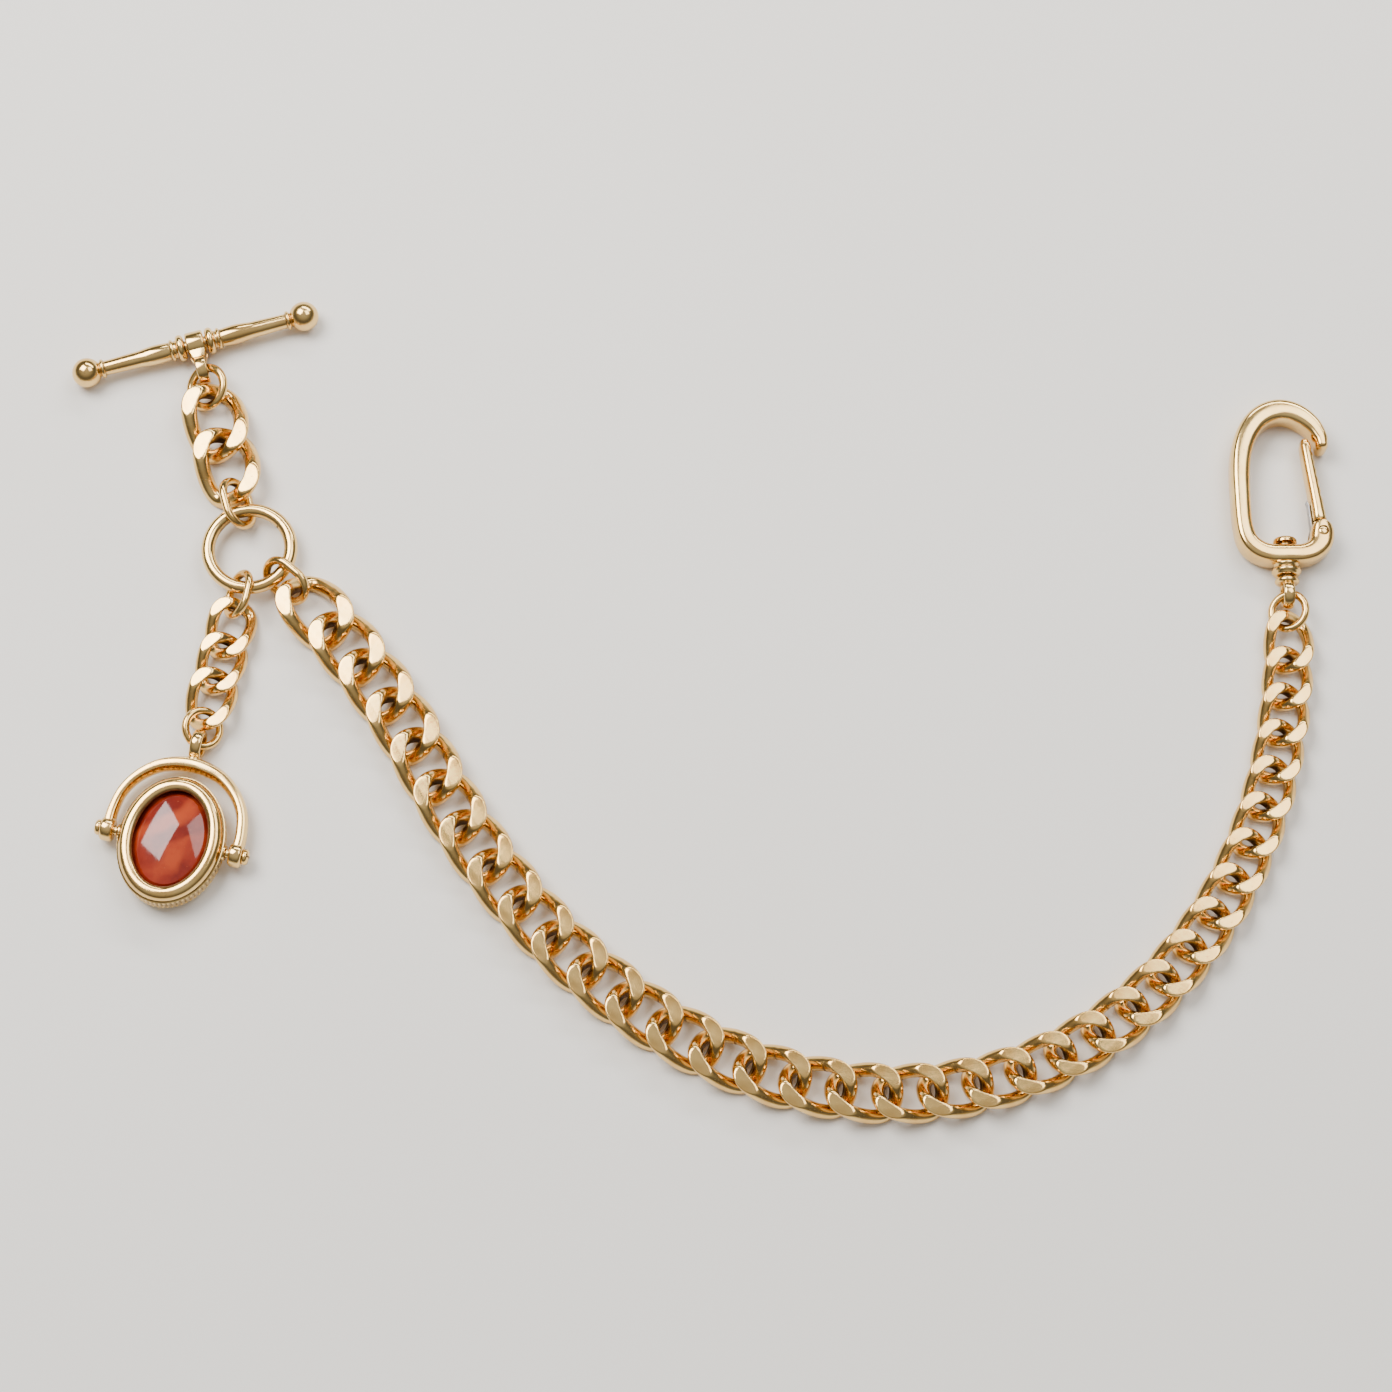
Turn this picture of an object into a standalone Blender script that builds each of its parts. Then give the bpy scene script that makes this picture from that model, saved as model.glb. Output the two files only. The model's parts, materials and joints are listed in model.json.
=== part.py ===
"""Single Albert pocket watch chain: T-bar, graduated curb chain, spinner fob and swivel clasp.

The chain lies flat on the plane z = 0, laid out in the swag it takes across a waistcoat.
Each piece is built in its own frame: +x along the chain away from the T-bar, +y to the left
of that, +z up. Its origin is the point where it hangs in the piece before it.
"""
import math

import bmesh
import bpy
from mathutils import Euler, Matrix, Vector

MM = 0.001

# layout: where the T-bar's centre lies, and the heading of each stretch in degrees
BAR_X, BAR_Y = -64.48 * MM, 47.63 * MM
TOGGLE_HEADING = -74.0
MAIN_LEAVES_RING_AT = -42.0
DROP_LEAVES_RING_AT = -101.0
DROP_HEADING = -102.0
SWAG_STEEPEST = -62.0
SWAG_END = 87.0
SWAG_LEAD_IN = 5
SWAG_SHARPNESS = 0.35
CLASP_HEADING = 90.0

# curb links: wire radius of the largest and smallest, shape as multiples of the wire radius
LINK_COUNT = 34
LINK_WIRE_LARGE = 1.05 * MM
LINK_WIRE_SMALL = 0.80 * MM
TOGGLE_LINK_WIRE = 1.05 * MM
DROP_LINK_WIRE = 0.80 * MM
CURB_HALF_LENGTH = 4.2
CURB_HALF_WIDTH = 3.0
CURB_TWIST = 1.45
CURB_SQUARENESS = 0.025
CURB_FLAT = 1.75
CURB_SLACK = 0.2
CURB_AROUND = 16
WIRE_SIDES = 6

# jump rings: mean radius, wire radius, tilt out of the flat
BAR_RING = (2.55 * MM, 0.58 * MM, 30.0)
END_RING = (2.25 * MM, 0.52 * MM, -30.0)
FOB_RING = (2.25 * MM, 0.52 * MM, -30.0)
RING_SLACK = 0.2 * MM

# oval connecting rings: half length, half width, wire radius, tilt
BIG_OVAL = (3.05 * MM, 2.12 * MM, 0.58 * MM, 50.0)
SMALL_OVAL = (2.80 * MM, 2.10 * MM, 0.54 * MM, 50.0)

# where the joints beside the centre ring turn, measured along the chain from the contact
PIVOT_AT_RING_ABOVE = -0.80 * MM
PIVOT_ON_RING = 1.10 * MM
PIVOT_UPPER_RING = 0.80 * MM
PIVOT_MAIN_LINK = -0.80 * MM
PIVOT_DROP_LINK = -1.10 * MM
PIVOT_END_RING = 0.80 * MM

CENTRE_RING_RADIUS = 5.20 * MM
CENTRE_RING_WIRE = 0.90 * MM

# T-bar and its collar
BAR_HALF_LENGTH = 16.2 * MM
BAR_BALL = 1.90 * MM
BAR_SHAFT_THICK = 1.30 * MM
BAR_SHAFT_THIN = 0.95 * MM
BAR_GROOVE = 0.80 * MM
BAR_GROOVE_HALF = 1.40 * MM
BAR_SHOULDER = 1.75 * MM
COLLAR_BORE = 0.92 * MM
COLLAR_RADIUS = 1.72 * MM
COLLAR_WIDTH = 2.30 * MM
COLLAR_REACH = 3.65 * MM
EYE_BORE = 1.26 * MM
EYE_RADIUS = 1.90 * MM
EYE_WIDTH = 1.40 * MM

# swivel clasp
CLASP_HALF_THICK = 1.90 * MM
CLASP_CHAMFER = 0.45 * MM
SWIVEL_EYE_RADIUS = 1.88 * MM
SWIVEL_STEM = 0.86 * MM
SWIVEL_BORE = 1.00 * MM
SWIVEL_HEAD = 1.55 * MM
SWIVEL_EYE_TO_COLLAR = 2.35 * MM
HINGE_X, HINGE_Y = 5.6 * MM, -4.65 * MM
HINGE_PIN = 0.50 * MM
HINGE_HOLE = 0.64 * MM
GATE_SLOT_HALF = 0.85 * MM
GATE_TONGUE_HALF = 0.62 * MM
GATE_HALF_THICK = 1.45 * MM
SPRING_THICK = 0.26 * MM
SPRING_HALF_WIDTH = 0.55 * MM

# spinner fob
FOB_HALF_THICK = 2.20 * MM
BEZEL_HALF_LENGTH = 8.20 * MM
BEZEL_HALF_WIDTH = 6.60 * MM
FOB_PIVOT_X = 12.70 * MM
STIRRUP_ARM_Y = 8.10 * MM
STIRRUP_HALF = 0.80 * MM
STIRRUP_HALF_THICK = 1.20 * MM
FOB_PIN = 0.55 * MM
FOB_PIN_HOLE = 0.68 * MM
BAIL_RADIUS = 2.05 * MM
BAIL_BORE = 1.26 * MM


def clear_scene():
    for obj in list(bpy.data.objects):
        bpy.data.objects.remove(obj, do_unlink=True)


def material(name, color, metallic, roughness):
    mat = bpy.data.materials.new(name)
    mat.use_nodes = True
    shader = mat.node_tree.nodes["Principled BSDF"]
    shader.inputs["Base Color"].default_value = (*color, 1.0)
    shader.inputs["Metallic"].default_value = metallic
    shader.inputs["Roughness"].default_value = roughness
    return mat


def link_object(name, mesh, mat):
    mesh.materials.append(mat)
    mesh.shade_smooth()
    mesh.set_sharp_from_angle(angle=math.radians(40))
    obj = bpy.data.objects.new(name, mesh)
    bpy.context.scene.collection.objects.link(obj)
    return obj


def mesh_from_sections(name, sections, closed):
    """Skin a list of equal-length point loops; an open run is capped at both ends."""
    bm = bmesh.new()
    loops = [[bm.verts.new(p) for p in section] for section in sections]
    count = len(loops[0])
    pairs = list(zip(loops, loops[1:]))
    if closed:
        pairs.append((loops[-1], loops[0]))
    for first, second in pairs:
        for i in range(count):
            j = (i + 1) % count
            bm.faces.new((first[i], first[j], second[j], second[i]))
    if not closed:
        bm.faces.new(loops[0])
        bm.faces.new(loops[-1])
    bmesh.ops.recalc_face_normals(bm, faces=bm.faces)
    bmesh.ops.triangulate(bm, faces=bm.faces)
    mesh = bpy.data.meshes.new(name)
    bm.to_mesh(mesh)
    bm.free()
    return mesh


def ring_of_points(centre, across, up, half_across, half_up, sides):
    """A polygon about centre with a flat or a corner upward, spanned by two unit vectors."""
    points = []
    for i in range(sides):
        angle = math.tau * (i + 0.5) / sides
        points.append(centre + across * (half_across * math.cos(angle))
                      + up * (half_up * math.sin(angle)))
    return points


def wire_loop(name, path, wire, flat=None):
    """A closed loop of round wire along a path that never runs straight up."""
    sections = []
    count = len(path)
    for i, point in enumerate(path):
        tangent = (path[(i + 1) % count] - path[i - 1]).normalized()
        across = tangent.cross(Vector((0, 0, 1))).normalized()
        up = across.cross(tangent)
        section = ring_of_points(point, across, up, wire, wire, WIRE_SIDES)
        if flat:
            for p in section:
                p.z = max(-flat, min(flat, p.z))
        sections.append(section)
    return mesh_from_sections(name, sections, closed=True)


def curb_path(wire):
    """The twisted oval of a curb link: its two ends cross the chain's plane at 45 degrees."""
    path = []
    for i in range(CURB_AROUND):
        t = math.tau * i / CURB_AROUND
        k = CURB_SQUARENESS
        x = CURB_HALF_LENGTH * ((1 + k) * math.cos(t) - k * math.cos(3 * t))
        y = CURB_HALF_WIDTH * ((1 + k) * math.sin(t) + k * math.sin(3 * t))
        z = CURB_TWIST * math.sin(2 * t)
        path.append(Vector((x, y, z)) * wire)
    return path


def obround_path(half_length, half_width, around):
    """Two half circles joined by straight sides."""
    straight = half_length - half_width
    path = []
    for i in range(around):
        t = math.tau * (i + 0.5) / around
        shift = straight if math.cos(t) > 0 else -straight
        path.append(Vector((shift + half_width * math.cos(t), half_width * math.sin(t), 0)))
    return path


def shifted(path, distance):
    return [p + Vector((distance, 0, 0)) for p in path]


def lathe(name, profile, sides, axis_x=True):
    """Turn (distance along the axis, radius) pairs; the first and last radius are zero."""
    bm = bmesh.new()

    def at(along, radius, angle):
        a, b = radius * math.cos(angle), radius * math.sin(angle)
        return (along, a, b) if axis_x else (a, b, along)

    first = bm.verts.new(at(profile[0][0], 0.0, 0.0))
    last = bm.verts.new(at(profile[-1][0], 0.0, 0.0))
    loops = []
    for along, radius in profile[1:-1]:
        loops.append([bm.verts.new(at(along, radius, math.tau * (i + 0.5) / sides))
                      for i in range(sides)])
    for i in range(sides):
        j = (i + 1) % sides
        bm.faces.new((first, loops[0][i], loops[0][j]))
        bm.faces.new((last, loops[-1][j], loops[-1][i]))
        for low, high in zip(loops, loops[1:]):
            bm.faces.new((low[i], high[i], high[j], low[j]))
    bmesh.ops.recalc_face_normals(bm, faces=bm.faces)
    bmesh.ops.triangulate(bm, faces=bm.faces)
    mesh = bpy.data.meshes.new(name)
    bm.to_mesh(mesh)
    bm.free()
    return mesh


def flat_bar_mesh(name, stations, half_thick, chamfer):
    """A flat chamfered bar along stations of (x, y, half width[, half thickness])."""
    sections = []
    count = len(stations)
    for i, station in enumerate(stations):
        here = Vector((station[0], station[1], 0))
        before = stations[max(i - 1, 0)]
        after = stations[min(i + 1, count - 1)]
        tangent = Vector((after[0] - before[0], after[1] - before[1], 0)).normalized()
        across = tangent.cross(Vector((0, 0, 1)))
        w = station[2]
        t = station[3] if len(station) > 3 else half_thick
        c = min(chamfer, 0.6 * w, 0.6 * t)
        corners = [(w, t - c), (w - c, t), (c - w, t), (-w, t - c),
                   (-w, c - t), (c - w, -t), (w - c, -t), (w, c - t)]
        sections.append([here + across * a + Vector((0, 0, b)) for a, b in corners])
    return mesh_from_sections(name, sections, closed=False)


def cylinder_mesh(name, radius, half_length, sides, axis):
    """A plain cylinder about the origin along axis 'x', 'y' or 'z'."""
    bm = bmesh.new()
    bmesh.ops.create_cone(bm, cap_ends=True, segments=sides, radius1=radius, radius2=radius,
                          depth=2 * half_length)
    if axis == "x":
        bmesh.ops.rotate(bm, verts=bm.verts, matrix=Matrix.Rotation(math.pi / 2, 3, "Y"))
    if axis == "y":
        bmesh.ops.rotate(bm, verts=bm.verts, matrix=Matrix.Rotation(math.pi / 2, 3, "X"))
    bmesh.ops.triangulate(bm, faces=bm.faces)
    mesh = bpy.data.meshes.new(name)
    bm.to_mesh(mesh)
    bm.free()
    return mesh


def box_mesh(name, low, high):
    bm = bmesh.new()
    bmesh.ops.create_cube(bm, size=1.0)
    for v in bm.verts:
        v.co = Vector([low[k] if v.co[k] < 0 else high[k] for k in range(3)])
    bmesh.ops.triangulate(bm, faces=bm.faces)
    mesh = bpy.data.meshes.new(name)
    bm.to_mesh(mesh)
    bm.free()
    return mesh


def move_mesh(mesh, offset):
    mesh.transform(Matrix.Translation(Vector(offset)))
    return mesh


def combine(target, mesh, operation):
    """Join or cut with a guide mesh given in the target's own frame."""
    guide = bpy.data.objects.new(target.name + "_guide_" + mesh.name, mesh)
    bpy.context.scene.collection.objects.link(guide)
    guide.parent = target
    guide.hide_render = True
    guide.display_type = "WIRE"
    modifier = target.modifiers.new(mesh.name, "BOOLEAN")
    modifier.operation = operation
    modifier.solver = "EXACT"
    modifier.object = guide


def frame_at(position, heading, tilt):
    """World matrix of a piece: heading about +Z and tilt about the chain's own direction."""
    rotation = Euler((math.radians(tilt), 0.0, math.radians(heading)), "XYZ").to_matrix().to_4x4()
    return Matrix.Translation(position) @ rotation


def place(obj, position, heading, tilt=0.0, parent=None):
    """Put a piece at its joint, carried by the piece before it."""
    obj.location = position
    obj.rotation_euler = (math.radians(tilt), 0.0, math.radians(heading))
    obj["rest"] = [value for row in frame_at(position, heading, tilt) for value in row]
    if parent:
        rest = list(parent["rest"])
        parent_matrix = Matrix([rest[4 * i:4 * i + 4] for i in range(4)])
        obj.parent = parent
        obj.matrix_parent_inverse = parent_matrix.inverted()


def direction(heading):
    angle = math.radians(heading)
    return Vector((math.cos(angle), math.sin(angle), 0.0))


class Walker:
    """Steps along the chain from one hanging point to the next."""

    def __init__(self, point, parent):
        self.point = Vector(point)
        self.parent = parent
        self.last_height = point[2]

    def add(self, obj, heading, tilt, height, reach, joint_height=None, pivot=0.0):
        """Hang obj here; pivot moves its turning point along the chain from the contact."""
        middle = (self.last_height + height) / 2
        joint = Vector((self.point.x, self.point.y, joint_height or middle))
        joint += direction(heading) * pivot
        place(obj, joint, heading, tilt, self.parent)
        self.point = self.point + direction(heading) * reach
        self.last_height = height
        self.parent = obj
        return obj


def sloped(mesh, rise, tilt):
    """Lift a mesh by rise along world Z, given that its frame is tilted about x."""
    angle = math.radians(tilt)
    return move_mesh(mesh, (0.0, math.sin(angle) * rise, math.cos(angle) * rise))


def curb_reach(wire):
    return 2 * (CURB_HALF_LENGTH - 1.0 - CURB_SLACK) * wire


def add_curb_link(walker, name, wire, heading, mat, lift=0.0, pivot=0.0):
    flat = CURB_FLAT * wire
    height = flat + lift
    reach = curb_reach(wire)
    mesh = wire_loop(name, shifted(curb_path(wire), reach / 2 - pivot), wire, flat)
    rise = height - (walker.last_height + height) / 2
    sloped(mesh, rise, 0.0)
    return walker.add(link_object(name, mesh, mat), heading, 0.0, height, reach, pivot=pivot)


def add_round_ring(walker, name, ring, heading, mat, from_eye, to_eye, height, pivot=0.0):
    """A jump ring; where it goes through an eye its wire runs through the eye's centre."""
    radius, wire, tilt = ring
    slack = wire + RING_SLACK
    near = radius if from_eye else radius - slack
    far = radius if to_eye else radius - slack
    path = shifted(obround_path(radius, radius, 16), near - pivot)
    rise = height - (walker.last_height + height) / 2
    mesh = sloped(wire_loop(name, path, wire), rise, tilt)
    return walker.add(link_object(name, mesh, mat), heading, tilt, height, near + far, pivot=pivot)


def add_oval_ring(walker, name, ring, side, heading, mat, pivot):
    """A connecting ring, tilted square to the curb end that follows (side 1) or precedes (-1)."""
    half_length, half_width, wire, lean = ring
    tilt = side * lean
    reach = 2 * (half_length - wire - RING_SLACK)
    height = half_width * math.sin(math.radians(abs(tilt))) + wire
    path = shifted(obround_path(half_length, half_width, 16), reach / 2 - pivot)
    rise = height - (walker.last_height + height) / 2
    mesh = sloped(wire_loop(name, path, wire), rise, tilt)
    return walker.add(link_object(name, mesh, mat), heading, tilt, height, reach, pivot=pivot)


def bar_profile():
    """Half of the T-bar from its middle to its ball end, as (distance, radius)."""
    ball_x = BAR_HALF_LENGTH - BAR_BALL
    half = [(BAR_GROOVE_HALF, BAR_GROOVE), (BAR_GROOVE_HALF + 0.1 * MM, BAR_SHOULDER),
            (BAR_GROOVE_HALF + 1.0 * MM, BAR_SHOULDER), (BAR_GROOVE_HALF + 1.4 * MM, BAR_SHAFT_THICK),
            (ball_x - 1.70 * MM, BAR_SHAFT_THIN)]
    for degrees in (147, 115, 85, 55, 27):
        angle = math.radians(degrees)
        half.append((ball_x + BAR_BALL * math.cos(angle), BAR_BALL * math.sin(angle)))
    half.append((BAR_HALF_LENGTH, 0.0))
    return half


def build_toggle_bar(mat):
    half = bar_profile()
    profile = [(-x, r) for x, r in reversed(half)] + half
    bar = link_object("toggle_bar", lathe("toggle_bar", profile, 12), mat)
    place(bar, Vector((BAR_X, BAR_Y, BAR_BALL)), TOGGLE_HEADING + 90.0)
    return bar


def build_collar(bar, mat):
    """A strap round the bar's groove that ends in an upright eye."""
    collar = link_object("bar_collar", cylinder_mesh("bar_collar", COLLAR_RADIUS,
                                                     COLLAR_WIDTH / 2, 16, "y"), mat)
    place(collar, Vector((BAR_X, BAR_Y, BAR_BALL)), TOGGLE_HEADING, 0.0, bar)
    eye = cylinder_mesh("eye", EYE_RADIUS, EYE_WIDTH / 2, 16, "y")
    combine(collar, move_mesh(eye, (COLLAR_REACH, 0, 0)), "UNION")
    neck = box_mesh("neck", (0.6 * MM, -0.85 * MM, -1.0 * MM), (2.9 * MM, 0.85 * MM, 1.0 * MM))
    combine(collar, neck, "UNION")
    bore = cylinder_mesh("bore", COLLAR_BORE, 2 * COLLAR_WIDTH, 12, "y")
    combine(collar, bore, "DIFFERENCE")
    hole = cylinder_mesh("hole", EYE_BORE, 2 * EYE_WIDTH, 12, "y")
    combine(collar, move_mesh(hole, (COLLAR_REACH, 0, 0)), "DIFFERENCE")
    return collar


def main_link_heading(index):
    """Heading of main link index (from 1): a short lead-in, then the swag."""
    if index <= SWAG_LEAD_IN:
        share = index / SWAG_LEAD_IN
        return MAIN_LEAVES_RING_AT - 1.0 + (SWAG_STEEPEST + 1.0 - MAIN_LEAVES_RING_AT) * share
    t = (index - SWAG_LEAD_IN) / (LINK_COUNT - SWAG_LEAD_IN)
    eased = t - SWAG_SHARPNESS * math.sin(math.tau * t) / math.tau
    return SWAG_STEEPEST + (SWAG_END - SWAG_STEEPEST) * eased


def build_swivel_eye(walker, mat):
    """Upright eye with a headed stem that turns in the clasp's collar."""
    e = SWIVEL_EYE_TO_COLLAR
    profile = [(0.9 * MM, 0.0), (0.9 * MM, SWIVEL_STEM), (1.3 * MM, SWIVEL_HEAD),
               (e - 0.25 * MM, SWIVEL_HEAD), (e - 0.25 * MM, SWIVEL_STEM),
               (e + 4.35 * MM, SWIVEL_STEM), (e + 4.35 * MM, SWIVEL_HEAD),
               (e + 4.75 * MM, SWIVEL_HEAD), (e + 5.15 * MM, 0.9 * MM), (e + 5.15 * MM, 0.0)]
    eye = link_object("swivel_eye", lathe("swivel_eye", profile, 14), mat)
    combine(eye, cylinder_mesh("loop", SWIVEL_EYE_RADIUS, EYE_WIDTH / 2, 16, "y"), "UNION")
    combine(eye, cylinder_mesh("loop_hole", EYE_BORE, 3 * MM, 12, "y"), "DIFFERENCE")
    return walker.add(eye, CLASP_HEADING, 0.0, CLASP_HALF_THICK, e, CLASP_HALF_THICK)


def hook_stations():
    """Centreline and half width of the hook, from the hinge lug round to the nose."""
    rows = [(7.0, -4.65, 0.75), (6.7, -4.65, 1.18), (6.2, -4.65, 1.42), (5.4, -4.62, 1.54),
            (4.3, -4.35, 1.50), (3.3, -3.45, 1.35),
            (2.8, -2.0, 1.28), (2.75, 0.0, 1.28), (2.8, 2.0, 1.28), (3.4, 3.6, 1.28),
            (4.7, 4.75, 1.25), (7.0, 5.25, 1.20), (10.5, 5.35, 1.22), (14.0, 5.3, 1.28),
            (17.0, 4.9, 1.35), (19.6, 3.9, 1.42), (21.4, 2.3, 1.48), (22.2, 0.2, 1.48),
            (21.8, -2.0, 1.40), (20.4, -3.9, 1.22), (18.6, -5.0, 0.98), (17.2, -5.25, 0.70)]
    return [(x * MM, y * MM, w * MM) for x, y, w in rows]


def build_clasp_body(walker, mat):
    """Hook, bridge and slotted hinge lug in one piece, with a barrel collar on the bridge."""
    mesh = flat_bar_mesh("clasp_body", hook_stations(), CLASP_HALF_THICK, CLASP_CHAMFER)
    body = link_object("clasp_body", mesh, mat)
    barrel = [(0.0, 0.0), (0.0, 1.55 * MM), (0.35 * MM, 1.88 * MM), (0.95 * MM, 1.88 * MM),
              (1.2 * MM, 1.62 * MM), (2.9 * MM, 1.62 * MM), (2.9 * MM, 0.0)]
    combine(body, lathe("barrel", barrel, 20), "UNION")
    bore = move_mesh(cylinder_mesh("bore", SWIVEL_BORE, 4 * MM, 16, "x"), (2.5 * MM, 0, 0))
    combine(body, bore, "DIFFERENCE")
    slot = box_mesh("gate_slot", (3.75 * MM, -9.0 * MM, -GATE_SLOT_HALF),
                    (9.0 * MM, -2.4 * MM, GATE_SLOT_HALF))
    combine(body, slot, "DIFFERENCE")
    hole = cylinder_mesh("pin_hole", HINGE_HOLE, 3 * MM, 12, "z")
    combine(body, move_mesh(hole, (HINGE_X, HINGE_Y, 0)), "DIFFERENCE")
    return walker.add(body, CLASP_HEADING, 0.0, CLASP_HALF_THICK, 0.0)


def gate_stations():
    rows = [(4.85, -4.72, 0.62, 0.62), (5.1, -4.70, 0.82, 0.62), (5.6, -4.65, 0.98, 0.62),
            (7.40, -4.44, 0.90, 0.62), (7.50, -4.43, 0.90, 1.45), (10.0, -4.15, 0.85, 1.45),
            (14.0, -3.62, 0.80, 1.40), (17.2, -3.20, 0.72, 1.30), (18.2, -3.06, 0.50, 1.05)]
    return [tuple(value * MM for value in row) for row in rows]


def build_gate(body, mat, pin_mat, spring_mat):
    gate_mesh = flat_bar_mesh("clasp_gate", gate_stations(), GATE_HALF_THICK, 0.35 * MM)
    gate = link_object("clasp_gate", move_mesh(gate_mesh, (-HINGE_X, -HINGE_Y, 0)), mat)
    hole = cylinder_mesh("gate_pin_hole", HINGE_HOLE, 3 * MM, 12, "z")
    combine(gate, hole, "DIFFERENCE")
    hinge = Matrix([list(body["rest"])[4 * i:4 * i + 4] for i in range(4)]) @ Vector(
        (HINGE_X, HINGE_Y, 0))
    place(gate, hinge, CLASP_HEADING, 0.0, body)
    pin_profile = [(-1.8 * MM, 0), (-1.8 * MM, 0.38 * MM), (-1.68 * MM, HINGE_PIN),
                   (1.68 * MM, HINGE_PIN), (1.8 * MM, 0.38 * MM), (1.8 * MM, 0)]
    pin = link_object("gate_pin", lathe("gate_pin", pin_profile, 10, axis_x=False), pin_mat)
    place(pin, hinge, CLASP_HEADING, 0.0, body)
    rows = [(4.0, -3.05), (5.0, -3.30), (6.0, -3.36), (7.2, -3.28), (8.4, -3.08), (9.4, -2.92),
            (9.9, -2.72)]
    stations = [(x * MM - HINGE_X, y * MM - HINGE_Y, SPRING_THICK / 2) for x, y in rows]
    leaf = link_object("gate_spring", flat_bar_mesh("gate_spring", stations, SPRING_HALF_WIDTH,
                                                    0.05 * MM), spring_mat)
    place(leaf, hinge, CLASP_HEADING, 0.0, body)


def stirrup_stations():
    """The U of the fob's stirrup, from the left boss over the crown to the right boss."""
    half = [(12.7, 8.1), (10.2, 8.1), (7.6, 7.55), (5.4, 6.2), (3.7, 4.2), (2.9, 2.1)]
    rows = half + [(2.65, 0.0)] + [(x, -y) for x, y in reversed(half)]
    return [(x * MM, y * MM, STIRRUP_HALF) for x, y in rows]


def build_stirrup(walker, mat):
    mesh = flat_bar_mesh("fob_stirrup", stirrup_stations(), STIRRUP_HALF_THICK, 0.3 * MM)
    stirrup = link_object("fob_stirrup", mesh, mat)
    combine(stirrup, cylinder_mesh("bail", BAIL_RADIUS, EYE_WIDTH / 2, 16, "y"), "UNION")
    neck = box_mesh("neck", (1.5 * MM, -0.6 * MM, -0.9 * MM), (2.6 * MM, 0.6 * MM, 0.9 * MM))
    combine(stirrup, neck, "UNION")
    combine(stirrup, cylinder_mesh("bail_hole", BAIL_BORE, 3 * MM, 12, "y"), "DIFFERENCE")
    for side, y in (("left", STIRRUP_ARM_Y), ("right", -STIRRUP_ARM_Y)):
        boss = cylinder_mesh("boss_" + side, 1.5 * MM, STIRRUP_HALF + 0.02 * MM, 14, "y")
        combine(stirrup, move_mesh(boss, (FOB_PIVOT_X, y, 0)), "UNION")
    for side, y in (("left", STIRRUP_ARM_Y), ("right", -STIRRUP_ARM_Y)):
        hole = cylinder_mesh("pivot_hole_" + side, FOB_PIN_HOLE, 3 * MM, 12, "y")
        combine(stirrup, move_mesh(hole, (FOB_PIVOT_X, y, 0)), "DIFFERENCE")
    return walker.add(stirrup, DROP_HEADING, 0.0, FOB_HALF_THICK, FOB_PIVOT_X, FOB_HALF_THICK)


def build_pivots(stirrup, pivot_point, mat):
    for name, side in (("fob_pivot_left", 1.0), ("fob_pivot_right", -1.0)):
        profile = [(5.85, 0.0), (5.85, 0.42), (6.0, 0.55), (9.02, 0.55), (9.02, 0.98), (9.4, 0.98),
                   (9.7, 0.6), (9.7, 0.0)]
        turned = lathe(name, [(a * MM, r * MM) for a, r in profile], 10)
        turned.transform(Matrix.Rotation(side * math.pi / 2, 4, "Z"))
        place(link_object(name, turned, mat), pivot_point, DROP_HEADING, 0.0, stirrup)


def oval_loops(profile, around):
    """Carry (inset, height) pairs round the bezel's oval."""
    sections = []
    for i in range(around):
        angle = math.tau * (i + 0.5) / around
        sections.append([Vector(((BEZEL_HALF_LENGTH - inset) * math.cos(angle),
                                 (BEZEL_HALF_WIDTH - inset) * math.sin(angle), height))
                         for inset, height in profile])
    return sections


def build_bezel(stirrup, pivot_point, mat):
    t = FOB_HALF_THICK
    upper = [(0.0, 1.15 * MM), (0.30 * MM, 1.7 * MM), (0.85 * MM, t), (1.75 * MM, t),
             (2.10 * MM, 1.75 * MM), (1.35 * MM, 0.60 * MM)]
    profile = upper + [(inset, -height) for inset, height in reversed(upper)]
    mesh = mesh_from_sections("fob_bezel", oval_loops(profile, 32), closed=True)
    bezel = link_object("fob_bezel", mesh, mat)
    for side, y in (("left", 1.0), ("right", -1.0)):
        hole = cylinder_mesh("pivot_socket_" + side, FOB_PIN_HOLE, 1.0 * MM, 12, "y")
        middle = y * (BEZEL_HALF_WIDTH + 0.05 * MM)
        combine(bezel, move_mesh(hole, (0, middle, 0)), "DIFFERENCE")
    place(bezel, pivot_point, DROP_HEADING, 0.0, stirrup)
    return bezel


def build_stone(bezel, pivot_point, mat):
    """A double-sided oval stone: a bevelled girdle in the bezel's groove, faces slightly domed."""
    rim = [(2.50 * MM, 1.58 * MM), (1.68 * MM, 0.36 * MM)]
    profile = rim + [(inset, -height) for inset, height in reversed(rim)]
    dome = [(3.4 * MM, 1.82 * MM), (4.9 * MM, 2.0 * MM)]
    upper = list(reversed(dome)) + profile + [(inset, -height) for inset, height in dome]
    around = 32
    bm = bmesh.new()
    loops = []
    for inset, height in upper:
        ring = []
        for i in range(around):
            angle = math.tau * (i + 0.5) / around
            ring.append(bm.verts.new(((BEZEL_HALF_LENGTH - inset) * math.cos(angle),
                                      (BEZEL_HALF_WIDTH - inset) * math.sin(angle), height)))
        loops.append(ring)
    top = bm.verts.new((0, 0, 2.06 * MM))
    bottom = bm.verts.new((0, 0, -2.06 * MM))
    for i in range(around):
        j = (i + 1) % around
        bm.faces.new((top, loops[0][i], loops[0][j]))
        bm.faces.new((bottom, loops[-1][j], loops[-1][i]))
        for high, low in zip(loops, loops[1:]):
            bm.faces.new((high[i], low[i], low[j], high[j]))
    bmesh.ops.recalc_face_normals(bm, faces=bm.faces)
    bmesh.ops.triangulate(bm, faces=bm.faces)
    mesh = bpy.data.meshes.new("fob_stone")
    bm.to_mesh(mesh)
    bm.free()
    place(link_object("fob_stone", mesh, mat), pivot_point, DROP_HEADING, 0.0, bezel)


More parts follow.
